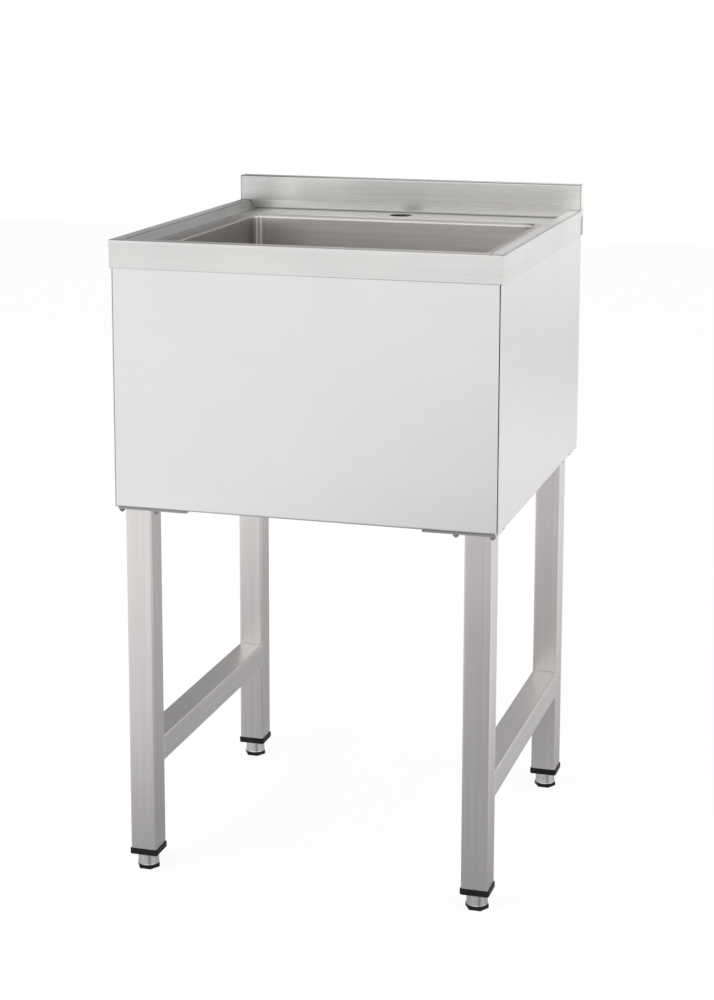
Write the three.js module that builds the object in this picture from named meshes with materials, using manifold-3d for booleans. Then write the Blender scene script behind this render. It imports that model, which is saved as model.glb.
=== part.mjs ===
// Utility laundry sink: stainless tub in a sheet-metal skirt, on four square legs with levelling feet.
// Millimetres, +Z up, front of the sink towards -Y, origin on the floor under the middle of the sink.
import * as THREE from 'three';
import { mergeVertices } from 'three/addons/utils/BufferGeometryUtils.js';
import { ConvexGeometry } from 'three/addons/geometries/ConvexGeometry.js';
import Module from 'manifold-3d';

const wasm = await Module();
wasm.setup();

// ---- driving dimensions ----
const sinkWidth = 546;            // over the rim bands, left to right
const sinkDepth = 559;            // front band to the back of the splash
const rimHeight = 905;            // floor to the top of the raised rim
const sheet = 1.2;                // gauge of all folded sheet
const seatGap = 0.3;              // between sheets that are spot-welded or rest on each other

const bandHeight = 39;            // turned-down edge round the rim
const hemHeight = 8;              // doubled lower edge of the band
const rimFlat = 17;               // level top of the raised rim
const rimSlope = 10;              // run of the slope from the rim down to the deck
const rimDrop = 12.5;             // fall of that slope
const ledge = 14;                 // level deck between the slope and the bowl, sides and front
const rearDeck = 73.5;            // level deck between the bowl and the splash
const splashRise = 38.5;          // splash above the rim
const splashDepth = 20.5;         // thickness of the boxed splash
const tapHoleRadius = 17.5;       // standard 35 mm tap hole
const tapHoleSetback = 36;        // hole centre in front of the splash

const lipRadius = 11;             // rounded edge from deck to bowl wall
const bowlCorner = 16;            // upright corners of the bowl, inside
const bowlDepth = 280;            // deck to the drain seat
const bowlFloorRadius = 12;       // round between wall and floor
const bowlFall = 6;               // fall of the floor towards the drain

const panelInset = 2.5;           // panel face behind the band face
const panelDrop = 371;            // rim top to the lower edge of the panels
const panelFlange = 25;           // turned-in lower edge, front and sides
const backFlange = 40;            // turned-in lower edge, back
const panelReturn = 15;           // turned-in upright edges of front and back panels
const bendRadius = 2;             // outside radius of the upright folds

const legSize = 38.1;             // square tube
const legWall = 1.5;
const legInset = 13;              // rim side to the outer face of a leg
const frontLegSetback = 14;       // rim front to the front face of a front leg
const rearLegSetback = 39;        // splash back to the rear face of a rear leg
const railTop = 191.5;            // floor to the top of a side rail

const plateThickness = 3;         // steel plate welded on each leg
const plateWidth = 100;           // left to right
const plateInset = 4.3;           // side panel face to the plate's outer edge
const plateSetback = 1.4;         // front panel face to the front edge of a front plate
const plateMargin = 8;            // plate past the middle of a stud, where no panel edge sets it
const studRadius = 2.5;           // M5 clinch studs in the panel flanges
const studInset = 8.5;            // side panel face to the outer studs
const studPitch = 50;             // outer stud to inner stud
const studSetback = 5.2;          // front panel face to the front studs
const studClear = 8;              // leg face to the studs in front of it or behind it
const studHeadRadius = 3.5;
const studHeadHeight = 1;
const studEnd = 2;                // thread showing below the nut
const nutRadius = 4.62;           // M5 nut, over its corners
const nutHeight = 4;
const threadGap = 0.3;            // between a plain shank and what is screwed or passed over it

const baseHeight = 6;             // hexagonal foot
const baseRadius = 16.5;          // over its corners
const sleeveShow = 17.5;          // polished sleeve showing below the collar
const sleeveRadius = 14.7;
const sleeveWall = 1.5;
const sleeveFlare = 1.8;          // widening at the bottom of the sleeve
const sleeveFlareHeight = 5;
const sleeveGrip = 28;            // sleeve hidden in the insert
const collarHeight = 8.5;
const collarOverhang = 1.5;       // collar past each side of the leg
const insertHeight = 40;          // plug inside the leg
const insertRoof = 8;             // threaded top of the plug
const stemRadius = 5;             // M10 screw
const stemReach = 28;             // screw above the insert

const cupRadius = 43;             // strainer cup, outside
const holeClear = 2;              // between the cup and the hole in the bowl floor
const flangeWidth = 11;           // strainer flange past that hole
const flangeHeight = 1.6;
const flangeBevel = 1;
const seatMargin = 6;             // level seat past the flange
const cupStraight = 20;           // threaded upper length of the cup
const cupDepth = 40;              // seat to the underside of the cup
const cupTaper = 12;              // narrowing from the cup's wall to its floor
const cupFloor = 2;
const spigotRadius = 24;          // threaded outlet
const spigotWall = 3;
const spigotLength = 18;
const gasketHeight = 3;
const frictionHeight = 0.8;
const locknutHeight = 8;
const locknutWidth = 9;           // ring outside the thread
const locknutLug = 6;
const washerHeight = 2;
const tailRadius = 19.05;         // standard 1 1/2 inch waste
const tailWall = 1.2;
const tailLength = 72;
const slipNutWall = 3.5;
const slipNutHeight = 22;
const slipNutLip = 2.5;

const basketClear = 0.8;          // basket rim to the wall of the cup
const basketStep = 8;             // width of the basket's rim
const basketFoot = 4;             // chamfer between its wall and floor
const basketHoles = 12;
const basketHoleRadius = 2;
const basketWall = 0.8;
const basketDepth = 31;           // rim to floor
const sealOverlap = 1;            // rubber seal past the outlet
const sealHeight = 3;
const postRadius = 3.5;
const postCollar = 2.5;           // collar past the post, on the basket floor
const postCollarHeight = 2;
const hubWidth = 4;               // hub of the outlet past the peg
const spokeWidth = 4;
const knobRadius = 8;
const pegLength = 6;              // peg below the seal

// ---- levels and lines that follow ----
const halfWidth = sinkWidth / 2;
const frontLine = -sinkDepth / 2;
const backLine = sinkDepth / 2;
const splashFace = backLine - splashDepth;
const splashTop = rimHeight + splashRise;
const bandBottom = rimHeight - bandHeight;
const deckLevel = rimHeight - rimDrop;
const lipBottom = deckLevel - lipRadius;
const drainSeat = deckLevel - bowlDepth;
const panelBottom = rimHeight - panelDrop;
const panelTop = rimHeight - sheet - seatGap;
const panelFaceX = halfWidth - panelInset;
const panelFrontY = frontLine + panelInset;
const panelBackY = backLine - panelInset;
const plateBottom = panelBottom - plateThickness;
const flangeLevels = [panelBottom, panelBottom + sheet];
const legBottom = baseHeight + sleeveShow + collarHeight;
const legCentreX = halfWidth - legInset - legSize / 2;
const frontLegY = frontLine + frontLegSetback + legSize / 2;
const rearLegY = backLine - rearLegSetback - legSize / 2;

// outline of the bowl opening at deck level
const openHalfX = halfWidth - rimFlat - rimSlope - ledge;
const openFrontY = frontLine + rimFlat + rimSlope + ledge;
const openBackY = splashFace - rearDeck;
const openCorner = bowlCorner + lipRadius;
const drainY = (openFrontY + openBackY) / 2;

// studs: two in line before each leg at the front or behind it at the rear, one on its other side
const outerStudX = panelFaceX - studInset;
const innerStudX = outerStudX - studPitch;
const frontStuds = { end: panelFrontY + studSetback, middle: frontLegY + legSize / 2 + studClear };
const rearStuds = { end: rearLegY + legSize / 2 + studClear, middle: rearLegY - legSize / 2 - studClear };

// radii of the drain, outwards from the cup
const drainHole = cupRadius + holeClear;
const strainerFlange = drainHole + flangeWidth;
const seatFlat = strainerFlange + seatMargin;

const roundSides = 24;
const studSides = 12;
const slipNutSides = 12;
const knobSides = 16;
const smallHoleSides = 8;
const cornerEase = 1;             // the deck's cut-out has corners this much tighter than the bowl's lip
const cutMargin = 5;              // how far a cutting solid runs past what it cuts
const overlap = 1;                // how far joined solids run into each other
const cornerSteps = 5;
const sidePoints = 4;
const arcSteps = 4;

// ---- finishes ----
const finish = (color, roughness, metalness) => ({ color, roughness, metalness });
const brushed = finish(0xc9c8c6, 0.38, 0.9);
const satin = finish(0xb4b2ae, 0.45, 0.85);
const polished = finish(0xd4d4d2, 0.18, 1.0);
const zinc = finish(0xa9aaa9, 0.4, 0.9);
const blackPlastic = finish(0x202021, 0.55, 0.0);
const blackRubber = finish(0x2a2a2a, 0.85, 0.0);
const fibre = finish(0x8a6a48, 0.9, 0.0);

// ---- solids ----
function toSolid(geometry) {
  const bare = geometry.clone();
  bare.deleteAttribute('normal');
  bare.deleteAttribute('uv');
  const merged = mergeVertices(bare, 1e-4);
  return new wasm.Manifold(new wasm.Mesh({
    numProp: 3,
    vertProperties: new Float32Array(merged.attributes.position.array),
    triVerts: new Uint32Array(merged.index.array),
  }));
}

function toGeometry(solid) {
  const mesh = solid.getMesh();
  const geometry = new THREE.BufferGeometry();
  geometry.setAttribute('position', new THREE.BufferAttribute(mesh.vertProperties, 3));
  geometry.setIndex(new THREE.BufferAttribute(mesh.triVerts, 1));
  geometry.computeVertexNormals();
  return geometry;
}

const joinAll = (solids) => solids.reduce((whole, next) => whole.add(next));
const ordered = (a, b) => [Math.min(a, b), Math.max(a, b)];

function block(x, y, z) {
  const geometry = new THREE.BoxGeometry(x[1] - x[0], y[1] - y[0], z[1] - z[0]);
  geometry.translate((x[0] + x[1]) / 2, (y[0] + y[1]) / 2, (z[0] + z[1]) / 2);
  return toSolid(geometry);
}

// upright rod or prism between two levels; sides = 6 gives a hexagon with a corner to the front
function rod(radius, z, x = 0, y = 0, sides = roundSides) {
  const geometry = new THREE.CylinderGeometry(radius, radius, z[1] - z[0], sides);
  geometry.rotateX(Math.PI / 2);
  geometry.translate(x, y, (z[0] + z[1]) / 2);
  return toSolid(geometry);
}

// a profile of [radius, level] points that closes on itself, turned about the upright axis
function turned(profile) {
  const points = profile.map(([radius, level]) => new THREE.Vector2(radius, level));
  if (THREE.ShapeUtils.area(points) < 0) points.reverse();
  points.push(points[0]);
  const geometry = new THREE.LatheGeometry(points, roundSides);
  geometry.rotateX(Math.PI / 2);
  return toSolid(geometry);
}

// the outline of the bowl opening moved inwards, as a ring of points at one level
function bowlRing(inset, z, corner = openCorner) {
  const radius = corner - inset;
  const centreX = openHalfX - corner;
  const corners = [
    [centreX, openFrontY + corner, -90], [centreX, openBackY - corner, 0],
    [-centreX, openBackY - corner, 90], [-centreX, openFrontY + corner, 180],
  ];
  const ring = [];
  corners.forEach(([x, y, start], index) => {
    for (let step = 0; step <= cornerSteps; step += 1) {
      const angle = THREE.MathUtils.degToRad(start + 90 * step / cornerSteps);
      ring.push(new THREE.Vector3(x + radius * Math.cos(angle), y + radius * Math.sin(angle), z));
    }
    const last = ring[ring.length - 1];
    const [nextX, nextY, nextStart] = corners[(index + 1) % corners.length];
    const nextAngle = THREE.MathUtils.degToRad(nextStart);
    const next = new THREE.Vector3(
      nextX + radius * Math.cos(nextAngle), nextY + radius * Math.sin(nextAngle), z);
    for (let point = 1; point <= sidePoints; point += 1) {
      ring.push(last.clone().lerp(next, point / (sidePoints + 1)));
    }
  });
  return ring;
}

// a circle round the drain whose points face the points of the bowl ring
function drainRing(radius, z) {
  return bowlRing(lipRadius, z).map((point) => {
    const angle = Math.atan2(point.y - drainY, point.x);
    return new THREE.Vector3(radius * Math.cos(angle), drainY + radius * Math.sin(angle), z);
  });
}

// a closed skin through rings of equal length; the last ring joins the first
function ringLoop(rings) {
  const count = rings[0].length;
  const positions = rings.flat().flatMap((point) => point.toArray());
  const index = [];
  rings.forEach((_, row) => {
    const next = (row + 1) % rings.length;
    for (let column = 0; column < count; column += 1) {
      const beside = (column + 1) % count;
      const a = row * count + column;
      const b = row * count + beside;
      const c = next * count + beside;
      const d = next * count + column;
      index.push(a, b, d, b, c, d);
    }
  });
  const geometry = new THREE.BufferGeometry();
  geometry.setAttribute('position', new THREE.BufferAttribute(new Float32Array(positions), 3));
  geometry.setIndex(index);
  return toSolid(geometry);
}

// points [sine, cosine] of a quarter turn, in degrees, times the radius
const arc = (radius, from, to) => Array.from({ length: arcSteps + 1 }, (_, step) => {
  const angle = THREE.MathUtils.degToRad(from + (to - from) * step / arcSteps);
  return [radius * Math.sin(angle), radius * Math.cos(angle)];
});

// ---- scene ----
const sink = new THREE.Group();

function place(parent, name, solid, look) {
  const mesh = new THREE.Mesh(toGeometry(solid), new THREE.MeshStandardMaterial(look));
  mesh.name = name;
  parent.add(mesh);
  return mesh;
}

// ---- top: bands, raised rim, deck and boxed splash, folded from one sheet ----
// the space inside the raised rim, with sloping sides; a wall deepens it and moves its sides outwards
function rimRecess(wall) {
  const slopeLength = Math.hypot(rimSlope, rimDrop);
  const rimEdge = rimFlat - wall * (slopeLength - rimSlope) / rimDrop;
  const corners = (inset, z) => {
    const x = halfWidth - inset;
    const y = frontLine + inset;
    return [[-x, y], [x, y], [x, splashFace + wall], [-x, splashFace + wall]]
      .map(([cornerX, cornerY]) => new THREE.Vector3(cornerX, cornerY, z));
  };
  return toSolid(new ConvexGeometry([
    ...corners(rimEdge + rimSlope, deckLevel - wall),
    ...corners(rimEdge - cutMargin * rimSlope / rimDrop, rimHeight - wall + cutMargin),
  ]));
}

// everything under the folded sheet; with a wall, the hollow inside it, open at the bottom
function underTop(wall) {
  const x = [-halfWidth + wall, halfWidth - wall];
  const bottom = bandBottom - (wall > 0 ? cutMargin : 0);
  const cabinet = block(x, [frontLine + wall, backLine - wall], [bottom, rimHeight - wall]);
  const splash = block(x, [splashFace + wall, backLine - wall], [bottom, splashTop - wall]);
  return cabinet.subtract(rimRecess(wall)).add(splash);
}

function sinkTop() {
  const hemX = panelFaceX + seatGap;
  const hemY = [panelFrontY - seatGap, panelBackY + seatGap];
  const hemLevels = [bandBottom, bandBottom + hemHeight];
  const hem = block([-halfWidth, halfWidth], [frontLine, backLine], hemLevels)
    .subtract(block([-hemX, hemX], hemY, [hemLevels[0] - cutMargin, hemLevels[1] + cutMargin]));
  const deckCut = [deckLevel - cutMargin, deckLevel + cutMargin];
  const opening = toSolid(new ConvexGeometry(
    deckCut.flatMap((z) => bowlRing(0, z, openCorner - cornerEase))));
  const tapHole = rod(tapHoleRadius, deckCut, 0, splashFace - tapHoleSetback);
  return underTop(0).subtract(underTop(sheet)).add(hem).subtract(opening).subtract(tapHole);
}
place(sink, 'sink_top', sinkTop(), brushed);

// ---- bowl: one pressed tub whose rounded lip is butt-welded into the deck ----
function bowl() {
  const floorEdge = drainSeat + bowlFall;
  const arcCentre = floorEdge + bowlFloorRadius;
  const lipRings = (radius, from, to) => arc(radius, from, to).map(([run, rise]) =>
    bowlRing(run, lipBottom + rise));
  const footRings = (radius, from, to) => arc(radius, from, to).map(([run, rise]) =>
    bowlRing(lipRadius + bowlFloorRadius - rise, arcCentre - run));
  return ringLoop([
    ...lipRings(lipRadius, 0, 90),
    ...footRings(bowlFloorRadius, 0, 90),
    drainRing(seatFlat, drainSeat),
    drainRing(drainHole, drainSeat),
    drainRing(drainHole, drainSeat - sheet),
    drainRing(seatFlat, drainSeat - sheet),
    ...footRings(bowlFloorRadius + sheet, 90, 0),
    ...lipRings(lipRadius - sheet, 90, 0),
  ]);
}
place(sink, 'bowl', bowl(), brushed);

// ---- skirt panels ----
// a clinch stud hanging from a flange, long enough for the leg plate and its nut
function stud(x, y) {
  const end = plateBottom - nutHeight - studEnd;
  const head = [panelBottom + sheet / 2, panelBottom + sheet + studHeadHeight];
  return rod(studRadius, [end, panelBottom + sheet], x, y, studSides)
    .add(rod(studHeadRadius, head, x, y, studSides));
}

// front and back panels: a sheet with rounded upright folds, returns and a lower flange
function endPanel(faceY, inward, flange, studs) {
  const halfX = panelFaceX - sheet - seatGap;
  const outline = (shift) => {
    const shape = new THREE.Shape();
    const edge = halfX - shift;
    const radius = bendRadius - shift;
    shape.moveTo(-edge, panelReturn);
    shape.lineTo(-edge, bendRadius);
    shape.absarc(-halfX + bendRadius, bendRadius, radius, Math.PI, 1.5 * Math.PI, false);
    shape.absarc(halfX - bendRadius, bendRadius, radius, 1.5 * Math.PI, 2 * Math.PI, false);
    shape.lineTo(edge, panelReturn);
    shape.closePath();
    return shape;
  };
  const upright = (shape, z0, z1) => {
    const geometry = new THREE.ExtrudeGeometry(
      shape, { depth: z1 - z0, bevelEnabled: false, curveSegments: arcSteps });
    geometry.translate(0, 0, z0);
    if (inward < 0) geometry.rotateZ(Math.PI);
    geometry.translate(0, faceY, 0);
    return toSolid(geometry);
  };
  const skin = upright(outline(0), panelBottom, panelTop)
    .subtract(upright(outline(sheet), panelBottom - cutMargin, panelTop + cutMargin))
    .subtract(block([-halfX + sheet, halfX - sheet],
      ordered(faceY + inward * sheet, faceY + inward * (panelReturn + cutMargin)),
      [panelBottom - cutMargin, panelTop + cutMargin]));
  const lower = block([-halfX + bendRadius, halfX - bendRadius],
    ordered(faceY, faceY + inward * flange), flangeLevels);
  return joinAll([skin, lower, ...studs.map(([x, y]) => stud(x, y))]);
}

const acrossStuds = (y) => [-1, 1].flatMap((side) => [[side * outerStudX, y], [side * innerStudX, y]]);
place(sink, 'front_panel', endPanel(panelFrontY, 1, panelFlange, acrossStuds(frontStuds.end)), brushed);
place(sink, 'back_panel', endPanel(panelBackY, -1, backFlange, acrossStuds(rearStuds.end)), brushed);

// side panels run from front to back outside the returns of the end panels
function sidePanel(side) {
  const span = (from, to) => ordered(side * from, side * to);
  const face = block(
    span(panelFaceX - sheet, panelFaceX), [panelFrontY, panelBackY], [panelBottom, panelTop]);
  const lower = block(span(panelFaceX - panelFlange, panelFaceX),
    [panelFrontY + panelFlange + seatGap, panelBackY - backFlange - seatGap], flangeLevels);
  const studs = [frontStuds.middle, rearStuds.middle].map((y) => stud(side * outerStudX, y));
  return joinAll([face, lower, ...studs]);
}
place(sink, 'left_side_panel', sidePanel(-1), brushed);
place(sink, 'right_side_panel', sidePanel(1), brushed);

// ---- legs, plates, nuts and feet, one corner at a time ----
function squareTube(x, y, z, along) {
  const shrink = (range, axis) => (axis === along
    ? [range[0] - cutMargin, range[1] + cutMargin] : [range[0] + legWall, range[1] - legWall]);
  return block(x, y, z).subtract(block(shrink(x, 'x'), shrink(y, 'y'), shrink(z, 'z')));
}

function levellingFoot(group, corner) {
  const sleeveTop = baseHeight + sleeveShow + sleeveGrip;
  const insertTop = legBottom + insertHeight;
  const collarBottom = legBottom - collarHeight;
  const collar = legSize / 2 + collarOverhang;
  const plug = legSize / 2 - legWall - seatGap;
  const insert = block([-collar, collar], [-collar, collar], [collarBottom, legBottom])
    .add(block([-plug, plug], [-plug, plug], [legBottom - overlap, insertTop]))
    .subtract(rod(sleeveRadius + threadGap, [collarBottom - cutMargin, insertTop - insertRoof]))
    .subtract(rod(stemRadius + threadGap, [collarBottom, insertTop + cutMargin]));
  place(group, `foot_insert_${corner}`, insert, blackPlastic);

  const bore = sleeveRadius - sleeveWall;
  const sleeve = turned([
    [bore, baseHeight], [sleeveRadius + sleeveFlare, baseHeight],
    [sleeveRadius, baseHeight + sleeveFlareHeight], [sleeveRadius, sleeveTop], [bore, sleeveTop],
  ]);
  place(group, `foot_sleeve_${corner}`, sleeve, polished);

  const screw = rod(baseRadius, [0, baseHeight], 0, 0, 6)
    .add(rod(bore - threadGap, [baseHeight - overlap, baseHeight + sleeveFlareHeight]))
    .add(rod(stemRadius, [baseHeight, insertTop + stemReach]));
  place(group, `foot_screw_${corner}`, screw, blackPlastic);
}

const ends = [
  { end: 'front', legY: frontLegY, studs: frontStuds, plateEnd: panelFrontY + plateSetback, inward: 1 },
  { end: 'rear', legY: rearLegY, studs: rearStuds, plateEnd: rearStuds.end + plateMargin, inward: -1 },
];
for (const { end, legY, studs, plateEnd, inward } of ends) {
  for (const [handed, side] of [['left', -1], ['right', 1]]) {
    const corner = `${end}_${handed}`;
    const legX = side * legCentreX;
    const tubeX = [legX - legSize / 2, legX + legSize / 2];
    const tubeY = [legY - legSize / 2, legY + legSize / 2];
    place(sink, `leg_${corner}`, squareTube(tubeX, tubeY, [legBottom, plateBottom], 'z'), satin);

    const outerEdge = panelFaceX - plateInset;
    const plateX = ordered(side * outerEdge, side * (outerEdge - plateWidth));
    const plateY = ordered(plateEnd, studs.middle + inward * plateMargin);
    const studPlaces = [
      [side * outerStudX, studs.end],
      [side * innerStudX, studs.end],
      [side * outerStudX, studs.middle],
    ];
    const plate = studPlaces.reduce(
      (solid, [x, y]) => solid.subtract(
        rod(studRadius + threadGap, [plateBottom - cutMargin, panelBottom + cutMargin], x, y, studSides)),
      block(plateX, plateY, [plateBottom, panelBottom]));
    place(sink, `leg_plate_${corner}`, plate, satin);

    studPlaces.forEach(([x, y], index) => {
      const nut = rod(nutRadius, [0, nutHeight], 0, 0, 6)
        .subtract(rod(studRadius + threadGap, [-cutMargin, nutHeight + cutMargin], 0, 0, studSides));
      const mesh = place(sink, `plate_nut_${corner}_${index + 1}`, nut, zinc);
      mesh.position.set(x, y, plateBottom - nutHeight);
      mesh.rotation.z = Math.PI / 6;       // a flat of the nut faces the leg
    });

    const foot = new THREE.Group();
    foot.position.set(legX, legY, 0);
    levellingFoot(foot, corner);
    sink.add(foot);
  }
}

// ---- side rails, welded between the front and rear legs ----
for (const [handed, side] of [['left', -1], ['right', 1]]) {
  const centre = side * legCentreX;
  const rail = squareTube(
    [centre - legSize / 2, centre + legSize / 2],
    [frontLegY + legSize / 2, rearLegY - legSize / 2], [railTop - legSize, railTop], 'y');
  place(sink, `side_rail_${handed}`, rail, satin);
}

// ---- drain, drawn about its own axis with the seat of the bowl at level zero ----
const drain = new THREE.Group();
drain.position.set(0, drainY, drainSeat);
sink.add(drain);

const spigotEnd = -cupDepth - spigotLength;
const spigotBore = spigotRadius - spigotWall;
const cupInner = cupRadius - sheet;
const cupFloorRadius = cupInner - cupTaper;
const floorTop = -cupDepth + cupFloor;
const tailFlange = spigotRadius - seatGap;

function strainerBody() {
  const body = turned([
    [cupInner, flangeHeight], [strainerFlange - flangeBevel, flangeHeight],
    [strainerFlange, 0], [cupRadius, 0],
    [cupRadius, -cupStraight], [cupFloorRadius + sheet, -cupDepth], [spigotRadius, -cupDepth],
    [spigotRadius, spigotEnd], [spigotBore, spigotEnd], [spigotBore, floorTop],
    [cupFloorRadius, floorTop], [cupInner, -cupStraight],
  ]);
  const hub = rod(postRadius + hubWidth, [-cupDepth, floorTop]);
  const spokes = [0, 60, 120].map((degrees) => {
    const geometry = new THREE.BoxGeometry(2 * (spigotBore + overlap), spokeWidth, cupFloor);
    geometry.rotateZ(THREE.MathUtils.degToRad(degrees));
    geometry.translate(0, 0, -cupDepth + cupFloor / 2);
    return toSolid(geometry);
  });
  const pegHole = rod(postRadius + threadGap, [-cupDepth - cutMargin, floorTop + cutMargin]);
  return joinAll([body, hub, ...spokes]).subtract(pegHole);
}
place(drain, 'strainer_body', strainerBody(), polished);

const ringSolid = (inner, outer, z) =>
  turned([[inner, z[0]], [outer, z[0]], [outer, z[1]], [inner, z[1]]]);
const gasketTop = -sheet;
const frictionTop = gasketTop - gasketHeight;
const locknutTop = frictionTop - frictionHeight;
const cupBore = cupRadius + threadGap;
place(drain, 'strainer_gasket', ringSolid(cupBore, strainerFlange, [frictionTop, gasketTop]), blackRubber);
place(drain, 'friction_ring', ringSolid(cupBore, strainerFlange, [locknutTop, frictionTop]), fibre);

function locknut() {
  const locknutRadius = cupRadius + locknutWidth;
  const levels = [locknutTop - locknutHeight, locknutTop];
  const lugs = [0, 90, 180, 270].map((degrees) => {
    const geometry = new THREE.BoxGeometry(2 * locknutLug, 2 * locknutLug, locknutHeight);
    geometry.translate(locknutRadius, 0, (levels[0] + levels[1]) / 2);
    geometry.rotateZ(THREE.MathUtils.degToRad(degrees));
    return toSolid(geometry);
  });
  return joinAll([rod(locknutRadius, levels), ...lugs])
    .subtract(rod(cupBore, [levels[0] - cutMargin, levels[1] + cutMargin]));
}
place(drain, 'strainer_locknut', locknut(), zinc);

const tailTop = spigotEnd - washerHeight;
place(drain, 'tailpiece_washer', ringSolid(tailRadius, tailFlange, [tailTop, spigotEnd]), blackRubber);
place(drain, 'tailpiece', turned([
  [tailRadius - tailWall, tailTop], [tailFlange, tailTop], [tailFlange, tailTop - tailWall],
  [tailRadius, tailTop - tailWall], [tailRadius, tailTop - tailLength],
  [tailRadius - tailWall, tailTop - tailLength],
]), polished);

function slipNut() {
  const bottom = tailTop - tailWall - seatGap - slipNutLip;
  return rod(spigotRadius + slipNutWall, [bottom, bottom + slipNutHeight], 0, 0, slipNutSides)
    .subtract(rod(spigotRadius + threadGap, [bottom + slipNutLip, bottom + slipNutHeight + cutMargin]))
    .subtract(rod(tailRadius + threadGap, [bottom - cutMargin, bottom + slipNutLip + cutMargin]));
}
place(drain, 'tailpiece_nut', slipNut(), zinc);

// ---- lift-out basket; its rubber seal rests on the floor of the strainer ----
const sealTop = floorTop + sealHeight;
const sealRadius = spigotBore + sealOverlap;
const basketRim = cupInner - basketClear;
const basketRadius = basketRim - basketStep;
function basketCup() {
  const rimTop = sealTop + basketDepth;
  const cup = turned([
    [postRadius + threadGap, sealTop], [basketRadius - basketFoot, sealTop],
    [basketRadius, sealTop + basketFoot], [basketRadius, rimTop - basketWall],
    [basketRim, rimTop - basketWall], [basketRim, rimTop], [basketRadius - basketWall, rimTop],
    [basketRadius - basketWall, sealTop + basketFoot + basketWall / 2],
    [basketRadius - basketFoot - basketWall / 2, sealTop + basketWall],
    [postRadius + threadGap, sealTop + basketWall],
  ]);
  const holeCircle = (sealRadius + basketRadius - basketFoot) / 2;
  const holes = Array.from({ length: basketHoles }, (_, index) => {
    const angle = index * 2 * Math.PI / basketHoles;
    return rod(basketHoleRadius, [sealTop - cutMargin, sealTop + basketWall + cutMargin],
      holeCircle * Math.cos(angle), holeCircle * Math.sin(angle), smallHoleSides);
  });
  return cup.subtract(joinAll(holes));
}
place(drain, 'basket_cup', basketCup(), polished);
place(drain, 'basket_seal', ringSolid(postRadius + threadGap, sealRadius, [floorTop, sealTop]), blackRubber);

function basketPost() {
  const knobCentre = sealTop + basketDepth - knobRadius;
  const collarLevels = [sealTop + basketWall, sealTop + basketWall + postCollarHeight];
  const knob = new THREE.SphereGeometry(knobRadius, knobSides, knobSides / 2);
  knob.rotateX(Math.PI / 2);
  knob.translate(0, 0, knobCentre);
  return rod(postRadius, [floorTop - pegLength, knobCentre])
    .add(rod(postRadius + postCollar, collarLevels))
    .add(toSolid(knob));
}
place(drain, 'basket_post', basketPost(), polished);

export default sink;
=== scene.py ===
import math

import bmesh
import bpy
import numpy as np
from mathutils import Matrix, Vector


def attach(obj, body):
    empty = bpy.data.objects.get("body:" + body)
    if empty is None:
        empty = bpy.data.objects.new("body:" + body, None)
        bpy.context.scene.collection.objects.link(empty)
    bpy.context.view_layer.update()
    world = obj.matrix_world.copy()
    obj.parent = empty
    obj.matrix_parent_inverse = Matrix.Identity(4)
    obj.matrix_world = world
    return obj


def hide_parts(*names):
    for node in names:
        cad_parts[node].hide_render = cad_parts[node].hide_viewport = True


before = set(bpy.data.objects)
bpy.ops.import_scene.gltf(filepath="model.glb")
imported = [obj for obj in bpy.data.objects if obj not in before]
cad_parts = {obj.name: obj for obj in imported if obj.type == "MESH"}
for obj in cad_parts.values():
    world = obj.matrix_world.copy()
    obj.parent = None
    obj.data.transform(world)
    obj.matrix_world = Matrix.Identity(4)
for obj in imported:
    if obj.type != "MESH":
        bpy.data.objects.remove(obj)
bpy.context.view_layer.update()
print("frame loaded")


print("placing the camera, the floor and the lights")
view = {
    "place": (0.859825, -2.948116, 1.266461),
    "yaw": 16.394, "pitch": -9.98, "roll": 0.11,                # in degrees
    "lens": 77.336, "sensor": 36.0, "shiftX": 0.0021, "shiftY": -0.154, "near": 0.05, "far": 60.0,
}
studio = {
    "floorSize": 14.0, "floorColor": (0.96, 0.96, 0.96), "floorGlow": 0.86, "floorWhite": 1.05,
    "worldFill": 0.55,
    # the mirrored floor is darker round the sink, in front of it, behind it and to its right, as
    # [centre, reach, depth]
    "floorShades": [
        ((0.0, -0.2), (1.2, 1.2), 0.7), ((0.05, 0.0), (1.5, 1.6), 0.2), ((0.45, -2.0), (1.5, 1.7), 0.15),
        ((0.3, -1.4), (0.85, 1.35), 0.85), ((0.0, 1.5), (0.8, 1.6), 0.9), ((1.2, 4.2), (1.2, 1.6), 0.35),
        ((1.7, -0.9), (0.8, 0.8), 0.5)],
    # the mirrored room behind and in front of the sink, as [sine of the elevation, brightness]
    "roomBack": [(0.0, 1.0), (0.14, 1.0), (0.21, 0.7), (0.28, 0.42), (0.4, 0.25), (0.55, 0.3),
                 (0.75, 0.42), (1.0, 0.5)],
    "roomFront": [(0.0, 1.0), (0.15, 1.1), (0.32, 1.2), (0.5, 0.8), (0.75, 0.5), (1.0, 0.5)],
    "backFrom": -0.1, "backTo": 0.5,                            # where the front of the room becomes the back
    "leftFrom": -0.22, "leftTo": -0.36, "leftShade": 0.5,
    "lampTarget": (0, 0, 0.6),
    "keyPlace": (-2.2, -2.6, 3.0), "keySize": 2.4, "keyPower": 60.0,
    "sidePlace": (3.0, -0.8, 1.9), "sideSize": 1.8, "sidePower": 26.0,
}


# a shader node with its settings and the values of its sockets
def addNode(tree, kind, values=None, **settings):
    node = tree.nodes.new(kind)
    for key, value in settings.items():
        setattr(node, key, value)
    for key, value in (values or {}).items():
        node.inputs[key].default_value = value
    return node


# a value carried from one range to another and held within it
def mapRange(tree, source, low, high, fromLow=0.0, fromHigh=1.0):
    node = addNode(tree, "ShaderNodeMapRange",
                   {"From Min": fromLow, "From Max": fromHigh, "To Min": low, "To Max": high})
    tree.links.new(source, node.inputs["Value"])
    return node.outputs["Result"]


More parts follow.
